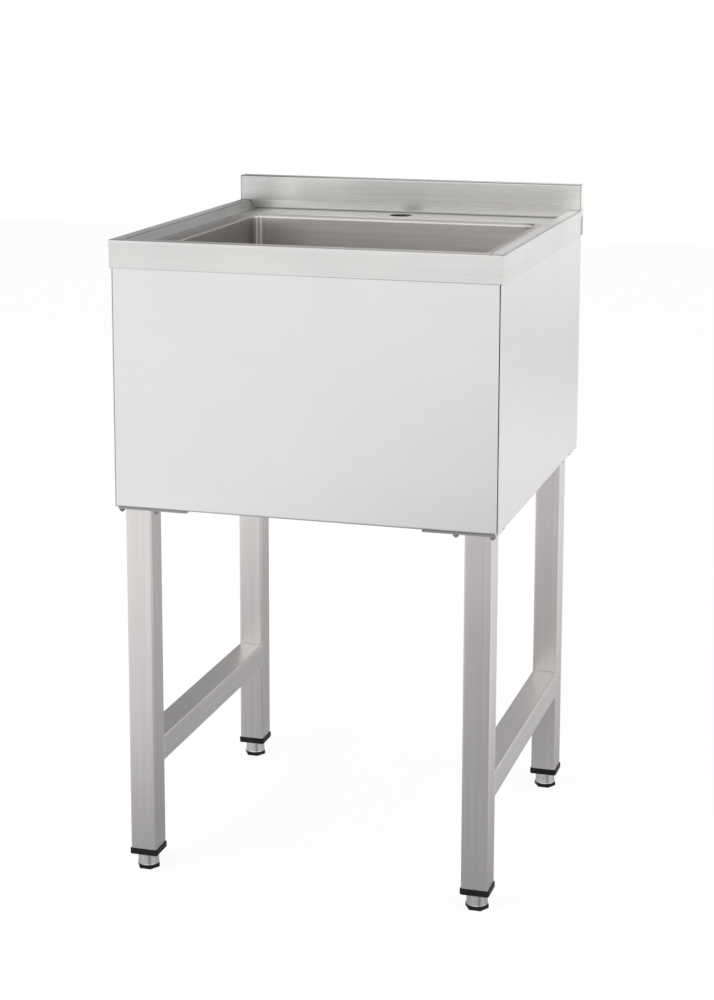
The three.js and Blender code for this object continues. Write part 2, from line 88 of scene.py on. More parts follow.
# a socket takes a colour, a number or the output of another node
def feed(tree, value, socket):
    if isinstance(value, (tuple, list)):
        socket.default_value = (*value, 1.0)
    elif isinstance(value, (int, float)):
        socket.default_value = value
    else:
        tree.links.new(value, socket)


# two colours mixed or multiplied; the colour sockets of the mix node are its inputs 6 and 7
def mixColors(tree, factor, first, second, blend="MIX"):
    node = addNode(tree, "ShaderNodeMix", data_type="RGBA", blend_type=blend)
    feed(tree, factor, node.inputs[0])
    feed(tree, first, node.inputs[6])
    feed(tree, second, node.inputs[7])
    return node.outputs[2]


# sums, products and the like of two values
def calculate(tree, operation, first, second):
    node = addNode(tree, "ShaderNodeMath", operation=operation)
    feed(tree, first, node.inputs[0])
    feed(tree, second, node.inputs[1])
    return node.outputs["Value"]


# the camera looks along its yaw and pitch, rolls about that line, and its picture is shifted, not turned
def placeCamera():
    yaw, pitch, roll = (math.radians(view[name]) for name in ("yaw", "pitch", "roll"))
    ahead = Vector((-math.sin(yaw) * math.cos(pitch), math.cos(yaw) * math.cos(pitch), math.sin(pitch)))
    right = ahead.cross(Vector((0, 0, 1))).normalized()
    up = right.cross(ahead)
    rolledRight = right * math.cos(roll) + up * math.sin(roll)
    rolledUp = up * math.cos(roll) - right * math.sin(roll)
    lens = bpy.data.cameras.new("photoView")
    lens.lens = view["lens"]
    lens.sensor_width = view["sensor"]
    lens.shift_x = view["shiftX"]
    lens.shift_y = view["shiftY"]
    lens.clip_start = view["near"]
    lens.clip_end = view["far"]
    camera = bpy.data.objects.new("photoView", lens)
    bpy.context.scene.collection.objects.link(camera)
    turn = Matrix((rolledRight, rolledUp, -ahead)).transposed()
    camera.matrix_world = Matrix.Translation(view["place"]) @ turn.to_4x4()
    bpy.context.scene.camera = camera


# camera, mirror and see-through rays, added together and held to one
def seenDirectly(tree):
    path = tree.nodes.new("ShaderNodeLightPath")
    total = path.outputs["Is Camera Ray"]
    for name in ("Is Glossy Ray", "Is Transmission Ray"):
        adding = addNode(tree, "ShaderNodeMath", operation="ADD", use_clamp=True)
        tree.links.new(total, adding.inputs[0])
        tree.links.new(path.outputs[name], adding.inputs[1])
        total = adding.outputs["Value"]
    return total


# one when the ray comes off a glossy surface, otherwise none
def seenInMirror(tree):
    return tree.nodes.new("ShaderNodeLightPath").outputs["Is Glossy Ray"]


# a pale floor that is white where it is looked at, still takes the shadow of the sink, and in the
# steel is a little darker near the sink and near the camera
def makeFloor():
    half = studio["floorSize"] / 2
    mesh = bpy.data.meshes.new("floor")
    corners = [(-half, -half, 0), (half, -half, 0), (half, half, 0), (-half, half, 0)]
    mesh.from_pydata(corners, [], [(0, 1, 2, 3)])
    floor = bpy.data.objects.new("floor", mesh)
    bpy.context.scene.collection.objects.link(floor)
    material = bpy.data.materials.new("paleFloor")
    material.use_nodes = True
    tree = material.node_tree
    tree.nodes.clear()
    matte = addNode(tree, "ShaderNodeBsdfDiffuse", {"Color": (*studio["floorColor"], 1)})
    place = tree.nodes.new("ShaderNodeTexCoord").outputs["Object"]
    mirrored = seenInMirror(tree)
    strength = None
    for (x, y), (reachX, reachY), depth in studio["floorShades"]:
        mapping = addNode(tree, "ShaderNodeMapping", {"Location": (-x / reachX, -y / reachY, 0),
                                                      "Scale": (1 / reachX, 1 / reachY, 1)})
        blob = addNode(tree, "ShaderNodeTexGradient", gradient_type="SPHERICAL")
        tree.links.new(place, mapping.inputs["Vector"])
        tree.links.new(mapping.outputs["Vector"], blob.inputs["Vector"])
        kept = mapRange(tree, calculate(tree, "MULTIPLY", blob.outputs["Fac"], mirrored), 1.0, 1.0 - depth)
        strength = kept if strength is None else calculate(tree, "MULTIPLY", strength, kept)
    strength = calculate(tree, "MULTIPLY", strength, studio["floorWhite"])
    glow = tree.nodes.new("ShaderNodeEmission")
    tree.links.new(strength, glow.inputs["Strength"])
    blend = tree.nodes.new("ShaderNodeMixShader")
    tree.links.new(calculate(tree, "MULTIPLY", seenDirectly(tree), studio["floorGlow"]), blend.inputs["Fac"])
    tree.links.new(matte.outputs["BSDF"], blend.inputs[1])
    tree.links.new(glow.outputs["Emission"], blend.inputs[2])
    output = tree.nodes.new("ShaderNodeOutputMaterial")
    tree.links.new(blend.outputs["Shader"], output.inputs["Surface"])
    mesh.materials.append(material)


# how bright the mirrored room is at each height, from a list of heights and brightnesses
def roomRamp(tree, height, levels):
    ramp = tree.nodes.new("ShaderNodeValToRGB")
    stops = ramp.color_ramp.elements
    for index, (level, bright) in enumerate(levels):
        stop = stops[index] if index < 2 else stops.new(level)          # a new ramp has two stops
        stop.position = level
        stop.color = (bright, bright, bright, 1)
    tree.links.new(height, ramp.inputs["Fac"])
    return ramp.outputs["Color"]


# a white room that fills in softly; in the steel it is greyer above the horizon and at the back left
def makeWorld():
    world = bpy.data.worlds.new("studio")
    world.use_nodes = True
    tree = world.node_tree
    tree.nodes.clear()
    direction = addNode(tree, "ShaderNodeSeparateXYZ")
    tree.links.new(tree.nodes.new("ShaderNodeTexCoord").outputs["Generated"], direction.inputs["Vector"])
    height = direction.outputs["Z"]
    left = mapRange(tree, direction.outputs["X"], 1.0, studio["leftShade"],
                    studio["leftFrom"], studio["leftTo"])
    back = mixColors(tree, 1.0, roomRamp(tree, height, studio["roomBack"]), left, "MULTIPLY")
    behind = mapRange(tree, direction.outputs["Y"], 0.0, 1.0, studio["backFrom"], studio["backTo"])
    room = mixColors(tree, behind, roomRamp(tree, height, studio["roomFront"]), back)
    sky = addNode(tree, "ShaderNodeBackground")
    tree.links.new(mixColors(tree, seenInMirror(tree), (1, 1, 1), room), sky.inputs["Color"])
    tree.links.new(mapRange(tree, seenDirectly(tree), studio["worldFill"], 1.0), sky.inputs["Strength"])
    output = tree.nodes.new("ShaderNodeOutputWorld")
    tree.links.new(sky.outputs["Background"], output.inputs["Surface"])
    bpy.context.scene.world = world


# a square lamp turned towards the sink; the steel doesn't mirror it
def makeLamp(name, place, size, power):
    lamp = bpy.data.lights.new(name, "AREA")
    lamp.size = size
    lamp.energy = power
    holder = bpy.data.objects.new(name, lamp)
    bpy.context.scene.collection.objects.link(holder)
    holder.visible_glossy = False
    holder.location = place
    towards = Vector(studio["lampTarget"]) - Vector(place)
    holder.rotation_euler = towards.to_track_quat("-Z", "Y").to_euler()


placeCamera()
makeFloor()
makeWorld()
makeLamp("keyLamp", studio["keyPlace"], studio["keySize"], studio["keyPower"])
makeLamp("sideLamp", studio["sidePlace"], studio["sideSize"], studio["sidePower"])
bpy.context.scene.view_settings.view_transform = "Standard"

# left is -X, the front of the sink is towards -Y, the floor is z = 0, everything in metres
meshing = {"merge": 4e-6, "sliver": 1e-7, "sharp": 32}          # distances in metres, an angle in degrees


# turns round a whole circle, the last the same as the first
def roundTurns(columns):
    return np.linspace(0, 2 * math.pi, columns + 1)


# points of an arc about a centre, from one angle to another in degrees
def arcPoints(centre, radius, start, end, steps):
    turn = np.radians(np.linspace(start, end, steps + 1))
    return np.stack([centre[0] + radius * np.cos(turn), centre[1] + radius * np.sin(turn)], axis=1)


# a chain of corner points with each corner rounded to its radius: the arc touches both legs,
# and a holding point stands a little before and after it so that flat faces stay flat
def roundedPath(points, radii, steps=5, holds=0.0006, closed=False):
    points = [np.array(point, float) for point in points]
    count = len(points)
    path = []
    for index, (point, radius, hold) in enumerate(zip(points, radii, np.broadcast_to(holds, count))):
        if radius == 0 or (not closed and index in (0, count - 1)):
            path.append(point[None])
            continue
        before = points[index - 1] - point
        after = points[(index + 1) % count] - point
        before, after = before / np.linalg.norm(before), after / np.linalg.norm(after)
        half = math.acos(np.clip(before @ after, -1, 1)) / 2
        reach = radius / math.tan(half)
        middle = before + after
        centre = point + middle / np.linalg.norm(middle) * radius / math.sin(half)
        first, last = point + before * reach - centre, point + after * reach - centre
        start = math.degrees(math.atan2(first[1], first[0]))
        sweep = (math.degrees(math.atan2(last[1], last[0])) - start + 180) % 360 - 180
        arc = arcPoints(centre, radius, start, start + sweep, steps)
        if hold:
            arc = np.vstack([arc[:1] + before * hold, arc, arc[-1:] + after * hold])
        path.append(arc)
    return np.vstack(path)


# running length along a chain of points
def lengthAlong(points):
    steps = np.linalg.norm(np.diff(points, axis=0), axis=1)
    return np.concatenate([[0], np.cumsum(steps)])


# a closed chain with its first point again at the end
def closeLoop(points):
    return np.vstack([points, points[:1]])


# rows of plan points and one height for each row, as a grid of points in space
def raiseRows(plan, heights):
    heights = np.broadcast_to(np.asarray(heights, float).reshape(-1, 1), plan.shape[:2])
    return np.dstack([plan, heights])


# a grid with its grain coordinates: one along its columns that is the same in every row, and one
# across its rows that is the same in every column
def withGrain(points, along, across):
    rows, columns = points.shape[:2]
    return points, np.dstack([np.broadcast_to(along, (rows, columns)),
                              np.broadcast_to(np.asarray(across).reshape(-1, 1), (rows, columns))])


# a grid moved to its place; a lying one is first turned from upright to along Y
def moveGrid(grid, place, lying=False):
    points, grain = grid
    if lying:
        points = np.dstack([points[:, :, 0], points[:, :, 2], points[:, :, 1]])
    return points + np.asarray(place), grain


# the first ring of points drawn over to the second, by the share of the way each row has gone
def drawOver(first, second, shares):
    shares = np.array(shares)[:, None, None]
    return first[None] * (1 - shares) + second[None] * shares


# quads between the neighbouring rows and columns of a grid
def gridQuads(rows, columns, start):
    corner = start + np.arange(rows - 1)[:, None] * columns + np.arange(columns - 1)[None]
    return np.stack([corner, corner + 1, corner + columns + 1, corner + columns], axis=-1).reshape(-1, 4)


# a mesh from several grids, with its grain coordinates; equal points are merged, empty faces dropped
def meshGrids(name, grids):
    points, grain, quads, start = [], [], [], 0
    for surface, stripes in grids:
        rows, columns = surface.shape[:2]
        points.append(surface.reshape(-1, 3))
        grain.append(stripes.reshape(-1, 2))
        quads.append(gridQuads(rows, columns, start))
        start += rows * columns
    quads = np.vstack(quads)
    mesh = bpy.data.meshes.new(name)
    mesh.from_pydata(np.vstack(points).tolist(), [], quads.tolist())
    layer = mesh.uv_layers.new(name="grain")
    layer.data.foreach_set("uv", np.vstack(grain)[quads.ravel()].ravel())
    work = bmesh.new()
    work.from_mesh(mesh)
    bmesh.ops.remove_doubles(work, verts=work.verts, dist=meshing["merge"])
    bmesh.ops.dissolve_degenerate(work, edges=work.edges, dist=meshing["sliver"])
    bmesh.ops.recalc_face_normals(work, faces=work.faces)
    work.to_mesh(mesh)
    work.free()
    return mesh


# the faces are turned away from the inner point, or from the middle of the surface without one
def turnOutwards(mesh, inner):
    count = len(mesh.polygons)
    normals, centres, areas = np.empty(count * 3), np.empty(count * 3), np.empty(count)
    mesh.polygons.foreach_get("normal", normals)
    mesh.polygons.foreach_get("center", centres)
    mesh.polygons.foreach_get("area", areas)
    centres = centres.reshape(-1, 3)
    reach = centres - np.array(centres.mean(0) if inner is None else inner)
    if ((normals.reshape(-1, 3) * reach).sum(1) * areas).sum() < 0:
        mesh.flip_normals()


# sheet metal gets its wall behind the outer face
def thicken(piece, wall):
    thick = piece.modifiers.new("wall", "SOLIDIFY")
    thick.thickness = wall
    thick.offset = -1
    thick.use_even_offset = True
    thick.use_quality_normals = True


# the modifiers become part of the mesh, and edges sharper than the angle are shaded sharp
def settle(piece):
    graph = bpy.context.evaluated_depsgraph_get()
    mesh = bpy.data.meshes.new_from_object(piece.evaluated_get(graph), depsgraph=graph)
    piece.modifiers.clear()
    piece.data = mesh
    mesh.shade_smooth()
    mesh.set_sharp_from_angle(angle=math.radians(meshing["sharp"]))


# one piece of the sink from its grids, with its finish, riding its body
def buildPiece(name, grids, body, slotName, looks, inner=None, wall=0.0):
    mesh = meshGrids(name, grids)
    turnOutwards(mesh, inner)
    piece = bpy.data.objects.new(name, mesh)
    bpy.context.scene.collection.objects.link(piece)
    if wall:
        thicken(piece, wall)
    settle(piece)
    piece.data.materials.clear()
    piece.data.materials.append(looks)
    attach(piece, body)
    return piece


# rings about an upright axis at (x, y), one for each pair of radius and height; either may change
# round the ring, and the columns run from no turn to a whole one
def ringGrid(rings, x, y, turn):
    radius = np.stack([np.broadcast_to(ring[0], turn.shape) for ring in rings])
    height = np.stack([np.broadcast_to(ring[1], turn.shape) for ring in rings])
    points = np.dstack([x + radius * np.cos(turn), y + radius * np.sin(turn), height])
    steps = np.hypot(np.diff(radius.mean(1)), np.diff(height.mean(1)))
    across = np.concatenate([[0], np.cumsum(steps)])
    return withGrain(points, turn * radius.max(), across)


# a profile of [radius, height] turned about an upright axis
def turnedGrid(profile, x, y, columns=64):
    return ringGrid(profile, x, y, roundTurns(columns))


# the share of its depth to which a thread is cut: none at the crest and one at the root, as a wave
# round the turn that moves on by a whole turn for each pitch of height
def threadWave(height, pitch, turn):
    return 0.5 - 0.5 * np.cos(2 * math.pi * height / pitch - turn)


# pairs of radius and height close enough together to carry a thread, from low to high
def threadLevels(radius, low, high, pitch, perPitch=6):
    levels = np.linspace(low, high, int(round((high - low) / pitch * perPitch)) + 1)
    return np.stack([np.full(len(levels), radius), levels], 1)


# rings with a thread, its crest at the given radius and its root one depth below
def threadRings(levels, depth, pitch, turn):
    return [(radius - depth * threadWave(height, pitch, turn), height) for radius, height in levels]


# distance from the axis to the side of a regular polygon with a corner at the given turn
def polygonRadius(turn, sides, corner, phase):
    part = 2 * math.pi / sides
    return corner * math.cos(part / 2) / np.cos((turn - phase) % part - part / 2)


# a many-sided nut: the corners of both faces are turned down to a cone that starts on a circle with
# this share of the distance from the axis to a side
def polygonRings(turn, sides, corner, phase, low, high, share=0.96, slope=0.5):
    outer = polygonRadius(turn, sides, corner, phase)
    flat = corner * math.cos(math.pi / sides) * share
    drop = (outer - flat) * slope
    return [(flat, low), (outer, low + drop), (outer, high - drop), (flat, high)]


# outline of a square with round corners about the origin, closed
def squareOutline(half, corner, steps=6):
    points = [(half, half), (-half, half), (-half, -half), (half, -half)]
    return closeLoop(roundedPath(points, [corner] * 4, steps=steps, closed=True))


print("making finishes")


# a material whose shader is already joined to its output
def newMaterial(name):
    material = bpy.data.materials.new(name)
    material.use_nodes = True
    tree = material.node_tree
    tree.nodes.clear()
    output = tree.nodes.new("ShaderNodeOutputMaterial")
    shader = tree.nodes.new("ShaderNodeBsdfPrincipled")
    tree.links.new(shader.outputs["BSDF"], output.inputs["Surface"])
    return material, tree, shader


# parts of a surface with painted light and shade, lighter or darker: the painted tone comes in along each
# ramp, given as a measure and the places where it starts and is whole, and the ramps of one part are
# multiplied together; the measures are X, Y, Z, the distance aside from the middle plane, and how far the
# surface faces +X
def paintLightAndShade(tree, position, color, parts):
    separate = addNode(tree, "ShaderNodeSeparateXYZ")
    tree.links.new(position, separate.inputs["Vector"])
    measures = {"X": separate.outputs["X"], "Y": separate.outputs["Y"], "Z": separate.outputs["Z"],
                "aside": calculate(tree, "ABSOLUTE", separate.outputs["X"], 0.0)}
    if any(ramp[0] == "facing" for ramps, paintedTone in parts for ramp in ramps):
        normal = addNode(tree, "ShaderNodeSeparateXYZ")
        tree.links.new(addNode(tree, "ShaderNodeTexCoord").outputs["Normal"], normal.inputs["Vector"])
        measures["facing"] = normal.outputs["X"]
    for ramps, paintedTone in parts:
        share = 1.0
        for measure, start, whole in ramps:
            ramp = mapRange(tree, measures[measure], 0.0, 1.0, start, whole)
            share = calculate(tree, "MULTIPLY", share, ramp)
        # each part's painted tone multiplies the colour: above one it paints light, below one shade
        paintedShading = mixColors(tree, share, (1, 1, 1), (paintedTone, paintedTone, paintedTone))
        color = mixColors(tree, 1.0, color, paintedShading, "MULTIPLY")
    return color


# steel with a ground or brushed face: fine streaks run along the grain, broad soft streaks and a
# faint cloud shift its tone, and the fine streaks also move the roughness and the height
def steelFinish(name, look, parts=(), useGrain=True):
    material, tree, shader = newMaterial(name)
    if useGrain:
        coordinates = addNode(tree, "ShaderNodeUVMap", uv_map="grain").outputs["UV"]
    else:
        coordinates = addNode(tree, "ShaderNodeTexCoord").outputs["Object"]
    position = addNode(tree, "ShaderNodeTexCoord").outputs["Object"]

    def streaks(scaleAlong, scaleAcross, detail):
        mapping = addNode(tree, "ShaderNodeMapping", {"Scale": (scaleAlong, scaleAcross, scaleAcross)})
        tree.links.new(coordinates, mapping.inputs["Vector"])
        noise = addNode(tree, "ShaderNodeTexNoise", {"Scale": 1.0, "Detail": detail, "Roughness": 0.6})
        tree.links.new(mapping.outputs["Vector"], noise.inputs["Vector"])
        return noise.outputs["Fac"]

    fine = streaks(look["fineAlong"], look["fineAcross"], 3.0)
    broad = streaks(look["fineAlong"] * look["broadAlong"], look["fineAcross"] * look["broadAcross"], 2.0)
    cloud = addNode(tree, "ShaderNodeTexNoise", {"Scale": look["cloudScale"], "Detail": 2.0})
    tree.links.new(position, cloud.inputs["Vector"])
    tone = calculate(tree, "ADD", mapRange(tree, fine, -look["fineTone"], look["fineTone"], 0.25, 0.75),
                     mapRange(tree, broad, -look["broadTone"], look["broadTone"], 0.25, 0.75))
    cloudy = mapRange(tree, cloud.outputs["Fac"], -look["cloudTone"], look["cloudTone"], 0.3, 0.7)
    tone = calculate(tree, "ADD", tone, cloudy)
    dark = tuple(channel * (1 - look["swing"]) for channel in look["color"])
    light = tuple(channel * (1 + look["swing"]) for channel in look["color"])
    color = mixColors(tree, mapRange(tree, tone, 0.0, 1.0, -look["swing"], look["swing"]), dark, light)
    # the colour then takes the painted light and shade of the given parts
    tree.links.new(paintLightAndShade(tree, position, color, parts), shader.inputs["Base Color"])
    roughness = mapRange(tree, fine, look["roughness"] - look["roughSpread"],
                         look["roughness"] + look["roughSpread"], 0.25, 0.75)
    tree.links.new(roughness, shader.inputs["Roughness"])
    shader.inputs["Metallic"].default_value = look["metallic"]
    if useGrain and look["anisotropic"]:
        tangent = addNode(tree, "ShaderNodeTangent", direction_type="UV_MAP", uv_map="grain")
        tree.links.new(tangent.outputs["Tangent"], shader.inputs["Tangent"])
        shader.inputs["Anisotropic"].default_value = look["anisotropic"]
        shader.inputs["Anisotropic Rotation"].default_value = look["quarterTurn"]
    bump = addNode(tree, "ShaderNodeBump", {"Strength": look["bump"], "Distance": look["bumpDistance"]})
    tree.links.new(fine, bump.inputs["Height"])
    tree.links.new(bump.outputs["Normal"], shader.inputs["Normal"])
    return material


# moulded plastic, rubber or fibre: a fine pebble, and a cloud of slightly worn tone
def mouldedFinish(name, look):
    material, tree, shader = newMaterial(name)
    position = addNode(tree, "ShaderNodeTexCoord").outputs["Object"]
    pebble = addNode(tree, "ShaderNodeTexNoise", {"Scale": look["grainScale"], "Detail": 4.0})
    cloud = addNode(tree, "ShaderNodeTexNoise", {"Scale": look["cloudScale"], "Detail": 2.0})
    tree.links.new(position, pebble.inputs["Vector"])
    tree.links.new(position, cloud.inputs["Vector"])
    worn = mapRange(tree, cloud.outputs["Fac"], 0.0, 1.0, 0.3, 0.7)
    tree.links.new(mixColors(tree, worn, look["dark"], look["light"]), shader.inputs["Base Color"])
    roughness = mapRange(tree, pebble.outputs["Fac"], look["roughness"] - look["roughSpread"],
                         look["roughness"] + look["roughSpread"], 0.3, 0.7)
    tree.links.new(roughness, shader.inputs["Roughness"])
    shader.inputs["Specular IOR Level"].default_value = look["specular"]
    bump = addNode(tree, "ShaderNodeBump", {"Strength": look["bump"], "Distance": look["bumpDistance"]})
    tree.links.new(pebble.outputs["Fac"], bump.inputs["Height"])
    tree.links.new(bump.outputs["Normal"], shader.inputs["Normal"])
    return material


# parts of the steel with painted light, shade and reflections, as [ramps, painted tone]; a part measured by
# "aside" is there on both sides
topPaintedShading = [
    ([("Z", 0.9, 0.916)], 1.35),  # painted light on the splash
    ([("X", -0.11, -0.17), ("Z", 0.9054, 0.9062)], 0.82),  # painted shade on its left part
    ([("X", -0.19, -0.225), ("Z", 0.9054, 0.9062)], 0.79),  # and on its left end
    ([("X", -0.215, -0.245), ("Y", 0.08, 0.2), ("Z", 0.9062, 0.9054)], 0.5),  # painted shade on the rear end of the left rim
    ([("Z", 0.9416, 0.9424), ("Y", 0.2612, 0.2602)], 0.5),  # painted dark reflection on the upper front edge of the splash
    ([("aside", 0.2708, 0.2717), ("Y", 0.2612, 0.2602), ("Z", 0.905, 0.9058)], 0.5),  # and on its upright edges
    ([("Z", 0.895, 0.894), ("Y", 0.2566, 0.2576)], 0.5),  # painted shade in the crease at its foot
    ([("aside", 0.2445, 0.2455), ("aside", 0.2722, 0.2712), ("Y", 0.255, 0.2566), ("Y", 0.2588, 0.258),
      ("Z", 0.9062, 0.9054)], 0.4),  # painted shade where the side rims meet it
    ([("aside", 0.2544, 0.2553), ("aside", 0.2577, 0.2567), ("Z", 0.9034, 0.9042),
      ("Y", 0.2586, 0.258)], 0.6),  # painted dark reflection on the inner edges of the side rims
    ([("aside", 0.2706, 0.2717), ("Z", 0.9024, 0.9036), ("Y", 0.259, 0.258)], 0.65),  # and on the outer ones
]
bowlPaintedShading = [
    ([("aside", 0.2, 0.228)], 0.48),  # painted shade on the side walls and their rounded edges
    ([("Y", 0.15, 0.18)], 1.34),  # painted light on the rear wall
    ([("Y", 0.15, 0.18), ("Z", 0.884, 0.876), ("X", -0.125, -0.19)], 0.65),  # painted shade on its left part
    ([("Y", 0.155, 0.158), ("facing", 0.59, 0.67), ("facing", 0.75, 0.67)], 2.4),  # two painted highlights, bright lines in
    ([("Y", 0.155, 0.158), ("facing", 0.22, 0.33), ("facing", 0.44, 0.33)], 1.7),  # the rear left corner
]
tubePaintedShading = [
    ([("aside", 0.2226, 0.2221), ("Y", 0.0, -0.1), ("Z", 0.25, 0.53)], 0.73),  # painted shade on the inner sides of the front legs
    ([("aside", 0.2226, 0.2221), ("Y", 0.0, 0.1), ("Z", 0.25, 0.53)], 0.81),  # and of the rear ones
    ([("X", 0.1, 0.2), ("Y", -0.265, -0.2653), ("Z", 0.12, 0.32)], 0.89),  # painted shade on the front of the front right leg
    ([("X", -0.1, -0.2), ("Y", -0.265, -0.2653), ("Z", 0.25, 0.1)], 0.94),  # and of the left one
    ([("Z", 0.191, 0.1914), ("Y", -0.2274, -0.2264), ("Y", 0.2022, 0.2012)], 1.33),  # painted light on the tops of the rails
]
sleevePaintedReflection = [
    ([("facing", 0.24, 0.42), ("facing", 0.6, 0.42)], 0.5),  # a painted dark reflection band towards the front right
    ([("facing", -0.5, -0.22), ("facing", 0.06, -0.22)], 1.15),  # and a painted bright reflection band on each side of it
    ([("facing", 0.6, 0.74), ("facing", 0.88, 0.74)], 1.15),
]
brushedLook = {
    "color": (0.72, 0.713, 0.7), "swing": 0.22, "metallic": 1.0, "roughness": 0.28, "roughSpread": 0.04,
    "fineAlong": 6.0, "fineAcross": 2600.0, "fineTone": 0.045,
    "broadAlong": 0.35, "broadAcross": 0.06, "broadTone": 0.035,    # scales against those of the fine streaks
    "cloudScale": 7.0, "cloudTone": 0.03, "bump": 0.08, "bumpDistance": 0.00004,
    "anisotropic": 0.3, "quarterTurn": 0.25,
}
panelLook = dict(brushedLook, color=(0.79, 0.786, 0.784), roughness=0.32, fineTone=0.02, broadTone=0.01,
                 cloudTone=0.012)
bowlLook = dict(brushedLook, color=(0.73, 0.707, 0.685), roughness=0.31, broadTone=0.07, anisotropic=0.6)
tubeLook = dict(brushedLook, color=(0.73, 0.71, 0.7), roughness=0.36, fineAcross=2000.0, fineAlong=3.0,
                fineTone=0.05, broadTone=0.06)
# dark steel for the leg plates: painted shade under the skirt
platePaintedShadeLook = dict(tubeLook, color=(0.34, 0.335, 0.33), fineAlong=40.0)
# darker than plain zinc plate: painted shade on the nuts and studs that sit under the skirt and the bowl
zincPaintedShadeLook = dict(brushedLook, color=(0.26, 0.26, 0.256), roughness=0.42, fineAlong=300.0, fineAcross=900.0,
                cloudScale=90.0, cloudTone=0.1, bump=0.1)
polishedLook = dict(brushedLook, color=(0.8, 0.8, 0.8), roughness=0.14, roughSpread=0.03, fineAlong=20.0,
                    fineAcross=3000.0, fineTone=0.03, broadTone=0.02, bump=0.04, anisotropic=0.0)
sleeveLook = dict(polishedLook, color=(0.85, 0.85, 0.85), roughness=0.18, fineTone=0.06, broadTone=0.05)
plasticLook = {
    "dark": (0.007, 0.007, 0.0075), "light": (0.014, 0.014, 0.0145), "grainScale": 2500.0, "cloudScale": 30.0,
    "roughness": 0.42, "roughSpread": 0.08, "specular": 0.24, "bump": 0.25, "bumpDistance": 0.0002,
}
rubberLook = dict(plasticLook, dark=(0.014, 0.014, 0.014), light=(0.03, 0.03, 0.03), grainScale=1500.0,
                  cloudScale=40.0, roughness=0.78, specular=0.3, bump=0.4)
fibreLook = dict(plasticLook, dark=(0.2, 0.12, 0.06), light=(0.36, 0.23, 0.13), grainScale=900.0,
                 cloudScale=60.0, roughness=0.85, specular=0.4, bump=0.5)

# the top, bowl, tube and sleeve steels carry the painted light, shade and reflections of their lists
brushedSteel = steelFinish("brushedSteel", brushedLook, topPaintedShading)
panelSteel = steelFinish("panelSteel", panelLook)
bowlSteel = steelFinish("bowlSteel", bowlLook, bowlPaintedShading)
tubeSteel = steelFinish("tubeSteel", tubeLook, tubePaintedShading)
zincPaintedShade = steelFinish("zincPaintedShade", zincPaintedShadeLook)
plateSteelPaintedShade = steelFinish("plateSteelPaintedShade", platePaintedShadeLook, useGrain=False)     # the plates carry no grain coordinates; their dark colour paints the shade under the skirt
polishedSteel = steelFinish("polishedSteel", polishedLook)
sleeveSteel = steelFinish("sleeveSteel", sleeveLook, sleevePaintedReflection)
blackPlastic = mouldedFinish("blackPlastic", plasticLook)
blackRubber = mouldedFinish("blackRubber", rubberLook)
brownFibre = mouldedFinish("brownFibre", fibreLook)


print("making the top")
top = {
    "halfWidth": 0.273, "front": -0.2795, "back": 0.2795, "splashFace": 0.259,
    "rimHeight": 0.905, "deckLevel": 0.8925, "splashTop": 0.9435, "bandBottom": 0.866,
    "hemRise": 0.008, "hemGap": 0.0022, "hemStay": 1.5,         # the band is flat from this many hem radii up
    "sheet": 0.001, "edge": 0.0015, "fold": 0.0016, "fillet": 0.0012,
    "rimFlat": 0.017, "slopeFoot": 0.027, "deckStart": 0.0296, "hold": 0.0005,
    "tapHole": 0.0175, "tapY": 0.223, "tapPatch": 0.03, "backShift": 0.5,
}
bowl = {
    "halfX": 0.232, "frontY": -0.2385, "backY": 0.1855, "corner": 0.027, "sheet": 0.0012, "weldLine": 0.001,
    "lip": 0.011, "lipRound": 0.0055, "lipBottom": 0.8815, "lipHold": 0.0005,
    "floorRadius": 0.012, "floorEdge": 0.6185, "floorHold": 0.0008, "drainY": -0.0265, "seat": 0.6125,
    "seatRadius": 0.0605, "rimRadius": 0.064, "rimRise": 0.0021, "fallRadius": 0.067, "fallRise": 0.0022,
    "stepRound": 0.0025, "stepHold": 0.0003, "holeRadius": 0.045,
}
# counts of points and rows, and the shares of the way at which rows stand
samples = {
    "side": 17, "front": 21, "corner": 9, "rear": 9, "tapHole": 7, "fillet": 4, "cap": 5, "lip": 8, "foot": 8,
    "wall": 8, "step": 4, "deckShares": (0, 0.02, 0.3, 0.6, 0.98, 1), "patchShares": (0, 0.5, 0.96, 1),
    "splashShares": (0.03, 0.35, 0.7, 0.97), "capShares": (0, 0.06, 0.94, 1),
    "floorShares": (0, 0.01, 0.2, 0.4, 0.6, 0.8, 0.99),
}
insideSkirt = (0, 0, 0.7)                                       # points that faces are turned away from
farBelow = (0, 0, -5)

sideSteps = np.linspace(0, 1, samples["side"])
frontSteps = np.linspace(0, 1, samples["front"])
cornerTurns = np.radians(np.linspace(0, 90, samples["corner"]))
tapShare = top["tapPatch"] / (bowl["halfX"] - bowl["corner"])
tapFrom, tapTo = 0.5 - tapShare / 2, 0.5 + tapShare / 2
rearSteps = np.unique(np.concatenate([
    np.linspace(0, tapFrom, samples["rear"]), np.linspace(tapFrom, tapTo, samples["tapHole"]),
    np.linspace(tapTo, 1, samples["rear"])]).round(9))


